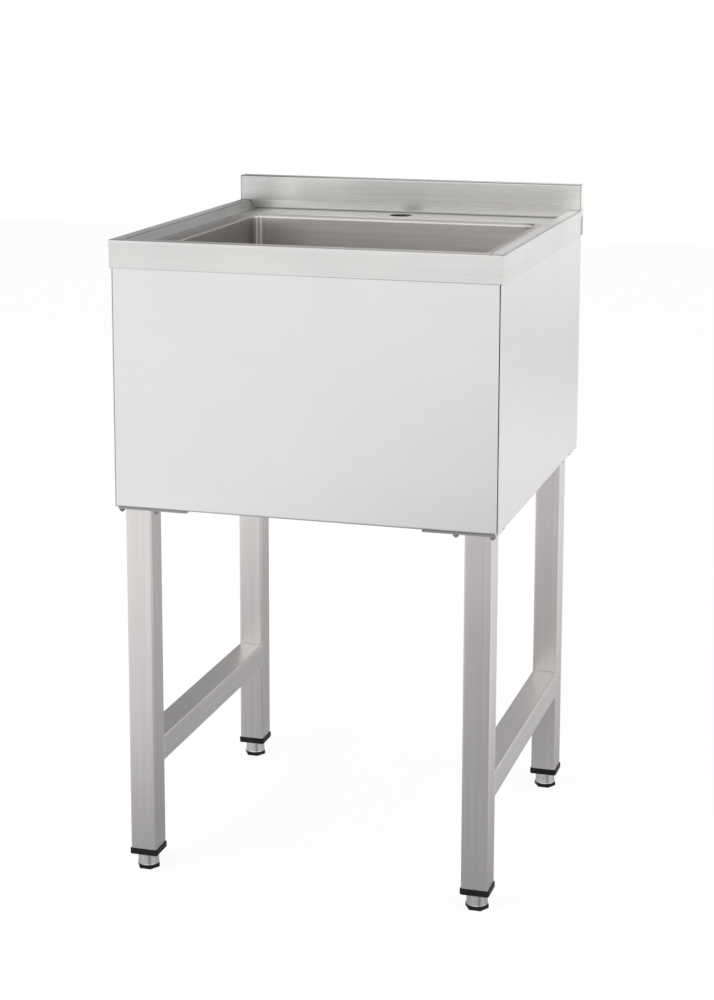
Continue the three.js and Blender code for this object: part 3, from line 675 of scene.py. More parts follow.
# plan outline of the rim moved inwards by each inset, from the left rear end round the front to the
# right rear end: straight sides, and front corners whose radius shrinks with the inset down to none
def rimPlan(insets, rearY):
    insets = np.asarray(insets, float)[:, None]
    rearY = np.broadcast_to(np.asarray(rearY, float).reshape(-1, 1), insets.shape)
    half, front = top["halfWidth"] - insets, top["front"] + insets
    radius = np.maximum(top["edge"] - insets, 0)
    sideY = rearY + (front + radius - rearY) * sideSteps
    cornerX = half - radius + radius * np.sin(cornerTurns)[::-1]
    cornerY = front + radius - radius * np.cos(cornerTurns)[::-1]
    frontX = (half - radius) * (2 * frontSteps - 1)
    x = np.hstack([np.repeat(-half, len(sideSteps), 1), -cornerX[:, 1:], frontX[:, 1:],
                   cornerX[:, ::-1][:, 1:], np.repeat(half, len(sideSteps) - 1, 1)])
    y = np.hstack([sideY, cornerY[:, 1:], np.repeat(front, len(frontSteps) - 1, 1),
                   cornerY[:, ::-1][:, 1:], sideY[:, ::-1][:, 1:]])
    return np.dstack([x, y])


# plan outline of the bowl opening moved inwards by each inset, all the way round from the left rear:
# a rectangle with round corners whose radius shrinks with the inset
def bowlPlan(insets):
    insets = np.asarray(insets, float)[:, None]
    halfX = bowl["halfX"] - insets
    front, back = bowl["frontY"] + insets, bowl["backY"] - insets
    radius = bowl["corner"] - insets
    sideY = (back - radius) + (front - back + 2 * radius) * sideSteps
    cornerX = halfX - radius + radius * np.cos(cornerTurns)
    cornerDrop = radius * np.sin(cornerTurns)
    frontX = (halfX - radius) * (2 * frontSteps - 1)
    behindX = (halfX - radius) * (1 - 2 * rearSteps)
    lowY, highY = front + radius - cornerDrop, back - radius + cornerDrop
    flat = np.ones_like(sideSteps)[None]
    x = np.hstack([-halfX * flat, -cornerX[:, 1:], frontX[:, 1:], cornerX[:, ::-1][:, 1:],
                   (halfX * flat)[:, 1:], cornerX[:, 1:], behindX[:, 1:], -cornerX[:, ::-1][:, 1:]])
    y = np.hstack([sideY, lowY[:, 1:], np.repeat(front, len(frontSteps) - 1, 1), lowY[:, ::-1][:, 1:],
                   sideY[:, ::-1][:, 1:], highY[:, 1:], np.repeat(back, len(rearSteps) - 1, 1),
                   highY[:, ::-1][:, 1:]])
    return np.dstack([x, y])


# band and rim: one profile of inset and height is carried round three sides, from the folded hem at
# the foot of the band up the band, over the flat of the rim and down the slope to the deck
hemRound = top["hemGap"] / 2
rimProfile = roundedPath(
    [(top["hemGap"], top["bandBottom"] + top["hemRise"]), (top["hemGap"], top["bandBottom"]),
     (0, top["bandBottom"]), (0, top["bandBottom"] + top["hemStay"] * hemRound), (0, top["rimHeight"]),
     (top["rimFlat"], top["rimHeight"]), (top["slopeFoot"], top["deckLevel"]),
     (top["deckStart"], top["deckLevel"])],
    [0, hemRound, hemRound, 0, top["edge"], top["fold"], top["fold"], 0],
    holds=[0, 0, 0, 0, top["hold"], top["hold"], top["hold"], 0])
rimInsets, rimHeights = rimProfile[:, 0], rimProfile[:, 1]
edge = top["edge"]
edgeStart = int(np.argmin(np.abs(rimInsets) + np.abs(rimHeights - (top["rimHeight"] - edge))))
bulge = np.sqrt(np.maximum(edge ** 2 - np.maximum(edge - rimInsets, 0) ** 2, 0))
faceEnds = top["splashFace"] + edge - bulge                     # where the splash face starts, by inset
faceEnds[:edgeStart + 1] = top["splashFace"] + edge
rimEnds = faceEnds - top["fillet"]
rimGrid = raiseRows(rimPlan(rimInsets, rimEnds), rimHeights)
rimAlong = lengthAlong(rimGrid[edgeStart])
profileAcross = lengthAlong(rimProfile)

# deck: ruled from the foot of the slope and of the splash to the outline of the bowl opening
deckRear = top["splashFace"] - top["fillet"]
deckHalf = top["halfWidth"] - top["deckStart"]
outerRing = rimPlan([top["deckStart"]], [deckRear])[0]
rearX = deckHalf * (1 - 2 * rearSteps)
cornerStay = np.ones(samples["corner"] - 1)
outerRing = np.vstack([
    outerRing,
    np.stack([deckHalf * cornerStay, deckRear * cornerStay], 1),
    np.stack([rearX[1:], np.full(len(rearX) - 1, deckRear)], 1),
    np.stack([-deckHalf * cornerStay, deckRear * cornerStay], 1)])
innerRing = bowlPlan([-bowl["weldLine"]])[0]
deckShares = np.array(samples["deckShares"])
deckPlan = drawOver(outerRing, innerRing, deckShares)
deckGrid = raiseRows(deckPlan, np.full(len(deckShares), top["deckLevel"]))
deckAlong = lengthAlong(outerRing)
deckAcross = profileAcross[-1] + deckShares * (bowl["backY"] - deckRear)
rearStart = len(rimAlong) + samples["corner"] - 2
holeFrom = rearStart + int(np.argmin(np.abs(rearSteps - tapFrom)))
holeTo = rearStart + int(np.argmin(np.abs(rearSteps - tapTo)))

# the rear strip has its grain along X, so its stripes are laid out by position
deckGrain = np.dstack([np.broadcast_to(deckAlong, deckGrid.shape[:2]),
                       np.broadcast_to(-np.abs(deckAcross)[:, None], deckGrid.shape[:2])]).copy()
rearBand = slice(rearStart, rearStart + len(rearSteps))
deckGrain[:, rearBand] = deckGrid[:, rearBand, :2]

# round the tap hole: rings from the edge of the patch to the circle
patch = closeLoop(np.vstack([
    deckGrid[0, holeFrom:holeTo + 1], deckGrid[1:, holeTo], deckGrid[-1, holeFrom:holeTo][::-1],
    deckGrid[1:-1, holeFrom][::-1]]))
patchTurn = np.arctan2(patch[:, 1] - top["tapY"], patch[:, 0])
tapCircle = np.stack([top["tapHole"] * np.cos(patchTurn), top["tapY"] + top["tapHole"] * np.sin(patchTurn),
                      patch[:, 2]], 1)
tapGrid = drawOver(patch, tapCircle, samples["patchShares"])

# splash: a ring of columns, along the face and back along the rear, with rows from its foot to its
# top; the columns of the face stand on the rim and the deck
leftX = -(top["halfWidth"] - rimInsets[edgeStart:])
leftZ = rimHeights[edgeStart:]
leftY = faceEnds[edgeStart:]
innerX = rearX[::-1][1:-1]
faceX = np.concatenate([leftX, innerX, -leftX[::-1]])
footZ = np.concatenate([leftZ, np.full(len(innerX), top["deckLevel"]), leftZ[::-1]])
faceY = np.concatenate([leftY, np.full(len(innerX), top["splashFace"]), leftY[::-1]])
awayX = np.sign(faceX) * np.maximum(np.abs(faceX) - (top["halfWidth"] - edge), 0) / edge
awayY = -np.sqrt(np.maximum(1 - awayX ** 2, 0))
backY = top["back"] - (faceY - top["splashFace"])
ringX = np.concatenate([faceX, faceX[::-1], faceX[:1]])
ringY = np.concatenate([faceY, backY[::-1], faceY[:1]])
ringAwayX = np.concatenate([awayX, awayX[::-1], awayX[:1]])
ringAwayY = np.concatenate([awayY, -awayY[::-1], awayY[:1]])
onFace = np.concatenate([np.ones(len(faceX)), np.zeros(len(faceX)), [1]])
ringFoot = np.concatenate([footZ, np.full(len(faceX), rimHeights[edgeStart]), footZ[:1]])

# its rows: a hollow fillet at the foot of the face, the upright wall, and a round edge at the top
filletTurns = np.radians(np.linspace(0, 90, samples["fillet"] + 1))[:, None]
fillet = top["fillet"]
filletY = ringY - onFace * fillet * (1 - np.sin(filletTurns))
filletZ = ringFoot + fillet * (1 - np.cos(filletTurns))
wallTop = top["splashTop"] - edge
wallShares = np.array(samples["splashShares"])[:, None]
wallZ = (ringFoot + fillet) * (1 - wallShares) + wallTop * wallShares
capTurns = np.radians(np.linspace(0, 90, samples["cap"] + 1))[:, None]
capInset = edge * (1 - np.cos(capTurns))
capZ = np.broadcast_to(wallTop + edge * np.sin(capTurns), (len(capTurns), len(ringX)))
splashX = np.vstack([np.broadcast_to(ringX, (len(filletTurns) + len(wallShares), len(ringX))),
                     ringX - ringAwayX * capInset])
splashY = np.vstack([filletY, np.broadcast_to(ringY, (len(wallShares), len(ringX))),
                     ringY - ringAwayY * capInset])
splashZ = np.vstack([filletZ, wallZ, capZ])
splashGrid = np.dstack([splashX, splashY, splashZ])
splashGrain = np.dstack([splashX + top["backShift"] * (1 - onFace), splashZ])   # the back has its own streaks

# flat top of the splash, between the two long edges
backColumns = slice(len(faceX), 2 * len(faceX))
topFront, topBack = splashGrid[-1, :len(faceX)], splashGrid[-1, backColumns][::-1]
capGrid = drawOver(topFront, topBack, samples["capShares"])

# band along the ends and the back of the splash
lowRows = slice(0, edgeStart + 1)
lowInsets = rimInsets[lowRows][:, None]
backX = (ringX - ringAwayX * lowInsets)[:, backColumns]
backRows = (ringY - ringAwayY * lowInsets)[:, backColumns]
lowZ = np.broadcast_to(rimHeights[lowRows][:, None], backX.shape)
rightEnd, leftEnd = rimGrid[lowRows, -1:], rimGrid[lowRows, :1]
bandGrid = np.concatenate([rightEnd, np.dstack([backX, backRows, lowZ]), leftEnd], axis=1)
bandAlong = lengthAlong(bandGrid[edgeStart])

sinkTop = buildPiece(
    "sinkTop",
    [withGrain(rimGrid, rimAlong, profileAcross),
     (deckGrid[:, :holeFrom + 1], deckGrain[:, :holeFrom + 1]),
     (deckGrid[:, holeTo:], deckGrain[:, holeTo:]),
     (tapGrid, tapGrid[:, :, :2]),
     (splashGrid, splashGrain),
     (capGrid, capGrid[:, :, :2]),
     withGrain(bandGrid, bandAlong, profileAcross[lowRows])],
    "sink_frame", "brushed_sheet", brushedSteel, inner=insideSkirt, wall=top["sheet"])
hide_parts("sink_top")

print("making the bowl")
# the profile of inset and height runs from the weld over the lip and down to the edge of the floor
lipArc = roundedPath(
    [(0, top["deckLevel"]), (bowl["lip"], top["deckLevel"]), (bowl["lip"], bowl["lipBottom"])],
    [0, bowl["lipRound"], 0], steps=samples["lip"], holds=bowl["lipHold"])
footArc = arcPoints((bowl["lip"] + bowl["floorRadius"], bowl["floorEdge"] + bowl["floorRadius"]),
                    bowl["floorRadius"], 180, 270, samples["foot"])
wallRows = np.linspace(lipArc[-1], footArc[0], samples["wall"])[1:-1]
bowlProfile = np.vstack([[-bowl["weldLine"], top["deckLevel"]], lipArc, wallRows,
                         footArc[:1] + [[0, bowl["floorHold"]]], footArc])
bowlWalls = raiseRows(bowlPlan(bowlProfile[:, 0]), bowlProfile[:, 1])
wallAlong = lengthAlong(bowlWalls[len(lipArc) + len(wallRows) // 2])

# the floor falls from that edge to a circle round the drain, and a small round step sinks the seat
floorRing = bowlWalls[-1]
drainCentre = np.array([0, bowl["drainY"]])
floorTurn = np.arctan2(floorRing[:, 1] - drainCentre[1], floorRing[:, 0] - drainCentre[0])
around = np.stack([np.cos(floorTurn), np.sin(floorTurn)], 1)
stepPath = roundedPath(
    [(bowl["fallRadius"], bowl["seat"] + bowl["fallRise"]),
     (bowl["rimRadius"], bowl["seat"] + bowl["rimRise"]),
     (bowl["seatRadius"], bowl["seat"]), (bowl["holeRadius"], bowl["seat"])],
    [0, bowl["stepRound"], bowl["stepRound"], 0], steps=samples["step"], holds=bowl["stepHold"])
stepGrid = np.stack([np.hstack([drainCentre + around * radius, np.full((len(around), 1), height)])
                     for radius, height in stepPath])
floorGrid = np.concatenate([drawOver(floorRing, stepGrid[0], samples["floorShares"]), stepGrid])
bowlPiece = buildPiece(
    "bowlTub",
    [withGrain(bowlWalls, wallAlong, lengthAlong(bowlProfile)), (floorGrid, floorGrid[:, :, :2])],
    "sink_frame", "brushed_sheet", bowlSteel, inner=farBelow, wall=bowl["sheet"])
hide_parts("bowl")


print("making the panels")
panel = {
    "faceX": 0.2705, "frontY": -0.277, "backY": 0.277, "top": 0.9035, "bottom": 0.534,
    "leftEdge": (-0.269, 0.0008), "rightEdge": (0.2681, 0.0016),  # where a panel turns in, and its radius
    "sheet": 0.0012, "fold": 0.0028, "turnIn": 0.015, "frontFlange": 0.025, "backFlange": 0.04,
    "gap": 0.0003, "rows": 14, "columns": 24, "endColumns": 4,
}


# how a panel runs down and folds in at its foot, as [depth behind the face, height]
def panelFall(flange):
    fold = roundedPath([(0, panel["top"]), (0, panel["bottom"]), (flange, panel["bottom"])],
                       [0, panel["fold"], 0])
    return np.vstack([np.linspace(fold[0], fold[1], panel["rows"])[:-1], fold[1:]])


# front or back: a flat face whose foot folds in, and round upright edges with their returns; each
# half of the plan is an edge that is carried straight down
def endPanel(name, node, faceY, inward, flange):
    (left, leftFold), (right, rightFold) = panel["leftEdge"], panel["rightEdge"]
    plan = roundedPath([(left, panel["turnIn"]), (left, 0), (right, 0), (right, panel["turnIn"])],
                       [0, leftFold, rightFold, 0])
    split = len(plan) // 2
    along = lengthAlong(plan) - lengthAlong(plan)[split - 1] + plan[split - 1, 0]
    fall = panelFall(flange)
    columns = np.linspace(plan[split - 1, 0], plan[split, 0], panel["columns"])
    size = (len(fall), len(columns))
    face = np.dstack([np.broadcast_to(columns, size), np.broadcast_to(faceY + inward * fall[:, :1], size),
                      np.broadcast_to(fall[:, 1:], size)])
    grids = [withGrain(face, columns, lengthAlong(fall))]
    levels = np.append(fall[:panel["rows"], 1], panel["bottom"])
    for half in (slice(0, split), slice(split, None)):
        placed = np.stack([plan[half, 0], faceY + inward * plan[half, 1]], 1)
        rows = raiseRows(np.broadcast_to(placed, (len(levels), *placed.shape)), levels)
        grids.append(withGrain(rows, along[half], panel["top"] - levels))
    piece = buildPiece(name, grids, "sink_frame", "brushed_sheet", panelSteel, inner=insideSkirt,
                       wall=panel["sheet"])
    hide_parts(node)


# a side: a flat face from front to back, whose foot folds in between the feet of the end panels
def sidePanel(name, node, side):
    fall = panelFall(panel["frontFlange"])
    down = lengthAlong(fall)
    foldFrom = panel["frontY"] + panel["frontFlange"] + panel["gap"]
    foldTo = panel["backY"] - panel["backFlange"] - panel["gap"]
    upright = np.vstack([fall[:panel["rows"]], [[0, panel["bottom"]]]])
    grids = []
    for rows, fromY, toY, columns in ((upright, panel["frontY"], foldFrom, panel["endColumns"]),
                                      (fall, foldFrom, foldTo, panel["columns"]),
                                      (upright, foldTo, panel["backY"], panel["endColumns"])):
        placeY = np.linspace(fromY, toY, columns)
        size = (len(rows), columns)
        face = np.dstack([np.broadcast_to(side * (panel["faceX"] - rows[:, :1]), size),
                          np.broadcast_to(placeY, size), np.broadcast_to(rows[:, 1:], size)])
        grids.append(withGrain(face, placeY, down[:len(rows)]))
    piece = buildPiece(name, grids, "sink_frame", "brushed_sheet", panelSteel, inner=insideSkirt,
                       wall=panel["sheet"])
    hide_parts(node)


endPanel("frontPanel", "front_panel", panel["frontY"], 1, panel["frontFlange"])
endPanel("backPanel", "back_panel", panel["backY"], -1, panel["backFlange"])
sidePanel("leftPanel", "left_side_panel", -1)
sidePanel("rightPanel", "right_side_panel", 1)

print("making the legs and rails")
tube = {
    "size": 0.0381, "wall": 0.0015, "round": 0.0026, "ease": 0.0003, "rows": 24,
    "legX": 0.24095, "frontY": -0.24645, "rearY": 0.22145, "low": 0.032, "high": 0.531, "railTop": 0.1915,
    "bead": 0.0012, "beadSides": 10, "beadInset": 0.0009,
    "ripple": 0.0024, "rippleSteps": 6, "rippleDepth": 0.1,
}


# a square tube along its own axis: outer skin from end to end, cut end, inner skin back, cut end
def tubeGrid(low, high):
    half, wall, ease = tube["size"] / 2, tube["wall"], tube["ease"]
    outer = squareOutline(half, tube["round"])
    eased = squareOutline(half - ease, tube["round"])
    inner = squareOutline(half - wall, tube["round"] - wall + ease)
    levels = np.linspace(low + ease, high - ease, tube["rows"])
    plan = np.stack([eased, *[outer] * tube["rows"], eased, inner, inner, eased])
    points = raiseRows(plan, np.concatenate([[low], levels, [high, high, low, low]]))
    return points, np.dstack([points[:, :, 2], np.broadcast_to(lengthAlong(outer), points.shape[:2])])


# a weld bead round the tube at one level: a small circle carried along the outline, its radius
# rippling with the distance it has gone
def beadGrid(level, inset):
    outline = squareOutline(tube["size"] / 2 - inset, tube["round"])
    gone = lengthAlong(outline)
    path = np.linspace(0, gone[-1], int(gone[-1] / tube["ripple"] * tube["rippleSteps"]) + 1)
    place = np.stack([np.interp(path, gone, outline[:, 0]), np.interp(path, gone, outline[:, 1])], 1)
    ahead = np.roll(place[:-1], -1, 0) - np.roll(place[:-1], 1, 0)
    ahead = closeLoop(ahead / np.linalg.norm(ahead, axis=1, keepdims=True))
    ripples = round(gone[-1] / tube["ripple"])
    radius = tube["bead"] * (1 + tube["rippleDepth"] * np.sin(2 * math.pi * ripples * path / gone[-1]))
    turn = roundTurns(tube["beadSides"])[:, None]
    outward = radius * np.cos(turn)
    points = np.dstack([place[:, 0] + outward * ahead[:, 1], place[:, 1] - outward * ahead[:, 0],
                        level + radius * np.sin(turn)])
    return withGrain(points, path, turn[:, 0] * tube["bead"])


legPlaces = {}
for side, handed in ((-1, "left"), (1, "right")):
    for end, legY in (("front", tube["frontY"]), ("rear", tube["rearY"])):
        corner = f"{end}_{handed}"
        legPlaces[corner] = (side * tube["legX"], legY)
        grids = [tubeGrid(tube["low"], tube["high"]), beadGrid(tube["high"], 0)]
        placed = [moveGrid(grid, (side * tube["legX"], legY, 0)) for grid in grids]
        leg = buildPiece(f"leg_{end}_{handed}_tube", placed, "sink_frame", "satin_tube", tubeSteel)
        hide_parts(f"leg_{corner}")
    fromY, toY = tube["frontY"] + tube["size"] / 2, tube["rearY"] - tube["size"] / 2
    grids = [tubeGrid(fromY, toY), beadGrid(fromY, tube["beadInset"]), beadGrid(toY, tube["beadInset"])]
    place = (side * tube["legX"], 0, tube["railTop"] - tube["size"] / 2)
    placed = [moveGrid(grid, place, lying=True) for grid in grids]
    rail = buildPiece(f"rail_{handed}_tube", placed, "sink_frame", "satin_tube", tubeSteel)
    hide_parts(f"side_rail_{handed}")

print("making the studs and nuts")
fixing = {
    "outerX": 0.262, "innerX": 0.212, "front": (-0.2718, -0.2194), "rear": (0.2485, 0.1944),
    "stud": 0.002, "tip": 0.7, "tipRise": 0.0006, "pitch": 0.0007, "depth": 0.0004, "plain": 0.0014,
    "low": 0.5262, "inside": 0.5352, "head": 0.003, "headRise": 0.001, "headEase": 0.0003,
    "nutLow": 0.5278, "nutHigh": 0.531, "corner": 0.00404, "bore": 0.0023, "lead": 0.0004,
    "studColumns": 20, "nutColumns": 48,
}


# a stud from its chamfered end below the nut up its thread to its head inside the panel
def studGrid(x, y):
    turn = roundTurns(fixing["studColumns"])
    radius, head, ease = fixing["stud"], fixing["head"], fixing["headEase"]
    low, inside, headTop = fixing["low"], fixing["inside"], fixing["inside"] + fixing["headRise"]
    levels = threadLevels(radius, low + fixing["tipRise"], inside - fixing["plain"], fixing["pitch"])
    rings = [(0, low), (radius * fixing["tip"], low),
             *threadRings(levels, fixing["depth"], fixing["pitch"], turn),
             (radius, inside), (head, inside), (head, headTop - ease), (head - ease, headTop), (0, headTop)]
    return ringGrid(rings, x, y, turn)


# a six-sided nut: up round its outside from the lead-in of its bore, and down the bore again
def nutGrid(x, y):
    turn = roundTurns(fixing["nutColumns"])
    low, high, bore, lead = fixing["nutLow"], fixing["nutHigh"], fixing["bore"], fixing["lead"]
    rings = [(bore, low + lead), (bore + lead, low), *polygonRings(turn, 6, fixing["corner"], 0, low, high),
             (bore + lead, high), (bore, high - lead), (bore, low + lead)]
    return ringGrid(rings, x, y, turn)


studGrids = []
for corner, (legX, legY) in legPlaces.items():
    side = math.copysign(1, legX)
    outerY, innerY = fixing[corner.split("_")[0]]
    places = [(side * fixing["outerX"], outerY), (side * fixing["innerX"], outerY),
              (side * fixing["outerX"], innerY)]
    for count, (x, y) in enumerate(places, 1):
        studGrids.append(studGrid(x, y))
        nut = buildPiece(f"nut_{corner}_{count}", [nutGrid(x, y)], "sink_frame", "zinc_steel", zincPaintedShade)
        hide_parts(f"plate_nut_{corner}_{count}")
buildPiece("panelStuds", studGrids, "sink_frame", "zinc_steel", zincPaintedShade)

print("making the feet")
# the heights are those of the feet at rest, with their bases on the floor
foot = {
    "base": 0.006, "corner": 0.0165, "gap": 0.0003, "ease": 0.0004,
    "sleeve": 0.0147, "sleeveTop": 0.0515, "wall": 0.0015, "flare": 0.0005, "flareRise": 0.004,
    "sleeveRows": 8, "sleeveColumns": 72,
    "collarLow": 0.0235, "collarHigh": 0.032, "collarHalf": 0.02055, "collarRound": 0.0032,
    "collarEase": 0.0007,
    "plugHalf": 0.01725, "plugTop": 0.072, "plugRound": 0.0016, "plugEase": 0.001, "roof": 0.008,
    "hubSide": 0.0045, "hubTop": 0.005, "hubEase": 0.0005,
    "stem": 0.005, "stemTop": 0.1, "threadFrom": 0.006, "tip": 0.75, "tipDrop": 0.001,
    "pitch": 0.0015, "depth": 0.0009, "screwColumns": 48,
}


# collar and plug in one: rings that go up the square outside and down the round bore; a square ring
# follows the outline, and a round one has its points in the same directions
def insertGrid(x, y):
    shape = squareOutline(foot["collarHalf"], foot["collarRound"])
    turn = np.arctan2(shape[:, 1], shape[:, 0])

    def square(half, corner, height):
        return np.column_stack([squareOutline(half, corner), np.full(len(turn), height)])

    def circle(radius, height):
        return np.column_stack([radius * np.cos(turn), radius * np.sin(turn), np.full(len(turn), height)])

    half, corner, low, high = foot["collarHalf"], foot["collarRound"], foot["collarLow"], foot["collarHigh"]
    plug, plugCorner, plugTop = foot["plugHalf"], foot["plugRound"], foot["plugTop"]
    bore, stem, roofLow = foot["sleeve"] + foot["gap"], foot["stem"] + foot["gap"], plugTop - foot["roof"]
    ease, collarEase, plugEase = foot["ease"], foot["collarEase"], foot["plugEase"]
    rings = [circle(bore, low + ease), circle(bore + ease, low), square(half - collarEase, corner, low),
             square(half, corner, low + collarEase), square(half, corner, (low + high) / 2),
             square(half, corner, high - collarEase), square(half - collarEase, corner, high),
             square(plug, plugCorner, high), square(plug, plugCorner, plugTop - plugEase),
             square(plug - plugEase, plugCorner, plugTop), circle(stem, plugTop), circle(stem, roofLow),
             circle(bore, roofLow), circle(bore, low + ease)]
    points = np.stack(rings) + np.array([x, y, 0])
    return withGrain(points, lengthAlong(shape), lengthAlong(points[:, 0]))


# bright sleeve: towards its foot it widens with the square of the way left to go
def sleeveGrid(x, y):
    radius, low, high, ease = foot["sleeve"], foot["base"], foot["sleeveTop"], foot["ease"]
    bore = radius - foot["wall"]
    rise = np.linspace(0, 1, foot["sleeveRows"])
    flare = np.stack([radius + foot["flare"] * (1 - rise) ** 2, low + ease + foot["flareRise"] * rise], 1)
    shaft = np.linspace(flare[-1], [radius, high - ease], foot["sleeveRows"])[1:]
    profile = np.vstack([[[bore, low], [radius + foot["flare"] - ease, low]], flare, shaft,
                         [[radius - ease, high], [bore, high], [bore, low]]])
    return turnedGrid(profile, x, y, columns=foot["sleeveColumns"])


# six-sided foot with a round hub on it and a threaded stem
def screwGrid(x, y):
    turn = roundTurns(foot["screwColumns"])
    base, hub, stem = foot["base"], foot["sleeve"] - foot["wall"] - foot["gap"], foot["stem"]
    side, ease = polygonRadius(turn, 6, foot["corner"], 0), foot["ease"]
    hubTop, stemTop = base + foot["hubTop"], foot["stemTop"]
    levels = threadLevels(stem, base + foot["threadFrom"], stemTop - foot["tipDrop"], foot["pitch"])
    rings = [(0, 0), (side - ease, 0), (side, ease), (side, base - ease), (side - ease, base), (hub, base),
             (hub, base + foot["hubSide"]), (hub - foot["hubEase"], hubTop), (stem, hubTop),
             *threadRings(levels, foot["depth"], foot["pitch"], turn),
             (stem * foot["tip"], stemTop), (0, stemTop)]
    return ringGrid(rings, x, y, turn)


for corner, (x, y) in legPlaces.items():
    insert = buildPiece(f"insert_{corner}", [insertGrid(x, y)], "sink_frame", "black_plastic", blackPlastic)
    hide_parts(f"foot_insert_{corner}")
    sleeve = buildPiece(f"sleeve_{corner}", [sleeveGrid(x, y)],
                        f"foot_sleeve_{corner}_body", "polished_steel", sleeveSteel)
    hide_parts(f"foot_sleeve_{corner}")
    screw = buildPiece(f"screw_{corner}", [screwGrid(x, y)],
                       f"foot_screw_{corner}_body", "black_plastic", blackPlastic)
    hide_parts(f"foot_screw_{corner}")

print("making the drain")
# the heights of the drain and the basket are measured from the seat
strainer = {
    "inner": 0.0418, "outer": 0.043, "flange": 0.056, "rise": 0.0016, "lip": 0.001, "lipUnder": 0.0003,
    "straight": 0.02, "depth": 0.04, "floor": 0.0298, "floorTop": -0.038, "taperFoot": 0.031,
    "outlet": 0.024, "bore": 0.021, "end": -0.058, "steps": 5, "columns": 72,
    "boreRound": 0.0008, "floorRound": 0.002, "taperRound": 0.004, "mouthRound": 0.0014,
    "pitch": 0.002, "threadDepth": 0.0006, "upperThread": (-0.003, -0.018),
    "outletThread": (-0.0425, -0.057), "hub": 0.0075, "pegHole": 0.0038,
    "spokes": 6, "spokeHalf": 0.002, "spokeRise": 0.001, "spokeRound": 0.0006, "spokeFrom": 0.0065,
    "spokeTo": 0.0218,
}
under = {
    "ringInner": 0.0433, "gasket": (-0.0042, -0.0012), "gasketEase": 0.0008,
    "friction": (-0.005, -0.0042), "frictionEase": 0.0002, "washer": (-0.06, -0.058), "washerEase": 0.0004,
    "locknut": (-0.013, -0.005), "locknutRadius": 0.052, "locknutEase": 0.0006, "lug": 0.006,
    "lugHalf": 7.5, "lugSlope": 1.6,                            # in degrees
    "slipNut": (-0.064, -0.042), "slipCorner": 0.0275, "slipBore": 0.0243, "slipLip": 0.0025,
    "slipShare": 0.975, "locknutColumns": 144, "slipColumns": 96,
    "tail": 0.01905, "tailWall": 0.0012, "tailFlange": 0.0237, "tailTop": -0.06, "tailEnd": -0.132,
    "tailRounds": (0.0003, 0.001, 0.0004, 0.0004, 0.0006, 0.0005), "gap": 0.0003,
}
basket = {
    "floor": -0.0342, "rimTop": -0.004, "rim": 0.041, "rimEdge": 0.0004, "rimLow": 0.0012, "rimIn": 0.0001,
    "radius": 0.0322, "footRun": 0.0028, "footRise": 0.0036, "sheet": 0.0008,
    "cupRounds": (0, 0.002, 0.004, 0.0016, 0.0004, 0), "cupHolds": (0, 0, 0.0006, 0.0004, 0, 0),
    "holes": 12, "holeRadius": 0.002, "holeCircle": 0.0255, "holeFrom": 0.0226, "holeTo": 0.0282,
    "patchSteps": 6, "patchRows": 4, "patchShares": (0, 0.45, 0.9, 1),
    "sealLow": -0.038, "sealTop": -0.035, "seal": 0.022, "sealEase": 0.001,
    "post": 0.0035, "pegLow": -0.044, "pegEase": 0.0008, "collar": 0.006, "collarTop": -0.0322,
    "collarRound": 0.0006, "neck": 0.0031, "neckFrom": 0.001, "neckTo": -0.0208,
    "knob": 0.008, "knobAt": -0.012, "knobFrom": -62, "postColumns": 40,
}


# a piece of the drain: its grids are worked out about the middle of the seat, and moved there
def drainPiece(name, grids, body, slotName, looks, node, **options):
    placed = [moveGrid(grid, (*drainCentre, bowl["seat"])) for grid in grids]
    piece = buildPiece(name, placed, body, slotName, looks, **options)
    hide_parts(node)


# points turned about the upright axis
def spin(x, y, turned):
    return [x * math.cos(turned) - y * math.sin(turned), x * math.sin(turned) + y * math.cos(turned)]


# a flat ring with eased edges, as an eased rectangle turned about the axis
def washerGrid(inner, outer, levels, ease=0.0003):
    low, high = levels
    return turnedGrid(closeLoop(roundedPath([(inner, low), (outer, low), (outer, high), (inner, high)],
                                            [ease] * 4, steps=3, holds=0, closed=True)), 0, 0)


# the strainer body's profile, round its flange, down its outside and up its inside; the rows of its
# two threads are marked
def strainerProfile():
    inner, outer, rise, flange = (strainer[part] for part in ("inner", "outer", "rise", "flange"))
    straight, depth, end = -strainer["straight"], -strainer["depth"], strainer["end"]
    flangePart = roundedPath(
        [(inner, rise), (flange, rise), (flange, 0), (outer, 0)],
        [0, strainer["lip"], strainer["lipUnder"], 0], steps=strainer["steps"], holds=0)[1:]
    innerPart = roundedPath(
        [(strainer["bore"], end), (strainer["bore"], strainer["floorTop"]),
         (strainer["floor"], strainer["floorTop"]), (inner, straight), (inner, rise), (flange, rise)],
        [0, strainer["boreRound"], strainer["floorRound"], strainer["taperRound"], strainer["mouthRound"], 0],
        steps=strainer["steps"], holds=0)[:-1]
    taper = [(outer, straight), (strainer["taperFoot"], depth), (strainer["outlet"], depth)]
    upperThread = threadLevels(outer, *strainer["upperThread"], -strainer["pitch"])
    outletThread = threadLevels(strainer["outlet"], *strainer["outletThread"], -strainer["pitch"])
    parts = [(flangePart, 0), (upperThread, 1), (taper, 0), (outletThread, 1), (innerPart, 0),
             (flangePart[:1], 0)]
    marks = [[marked] * len(part) for part, marked in parts]
    return np.vstack([part for part, marked in parts]), np.concatenate(marks)


# the strainer body: its profile turned about the axis, with both threads cut into it
def strainerGrid():
    turn = roundTurns(strainer["columns"])
    profile, threaded = strainerProfile()
    wave = threadWave(profile[:, 1:], strainer["pitch"], turn)
    radius = profile[:, :1] - strainer["threadDepth"] * wave * threaded[:, None]
    return ringGrid(list(zip(radius, profile[:, 1])), 0, 0, turn)


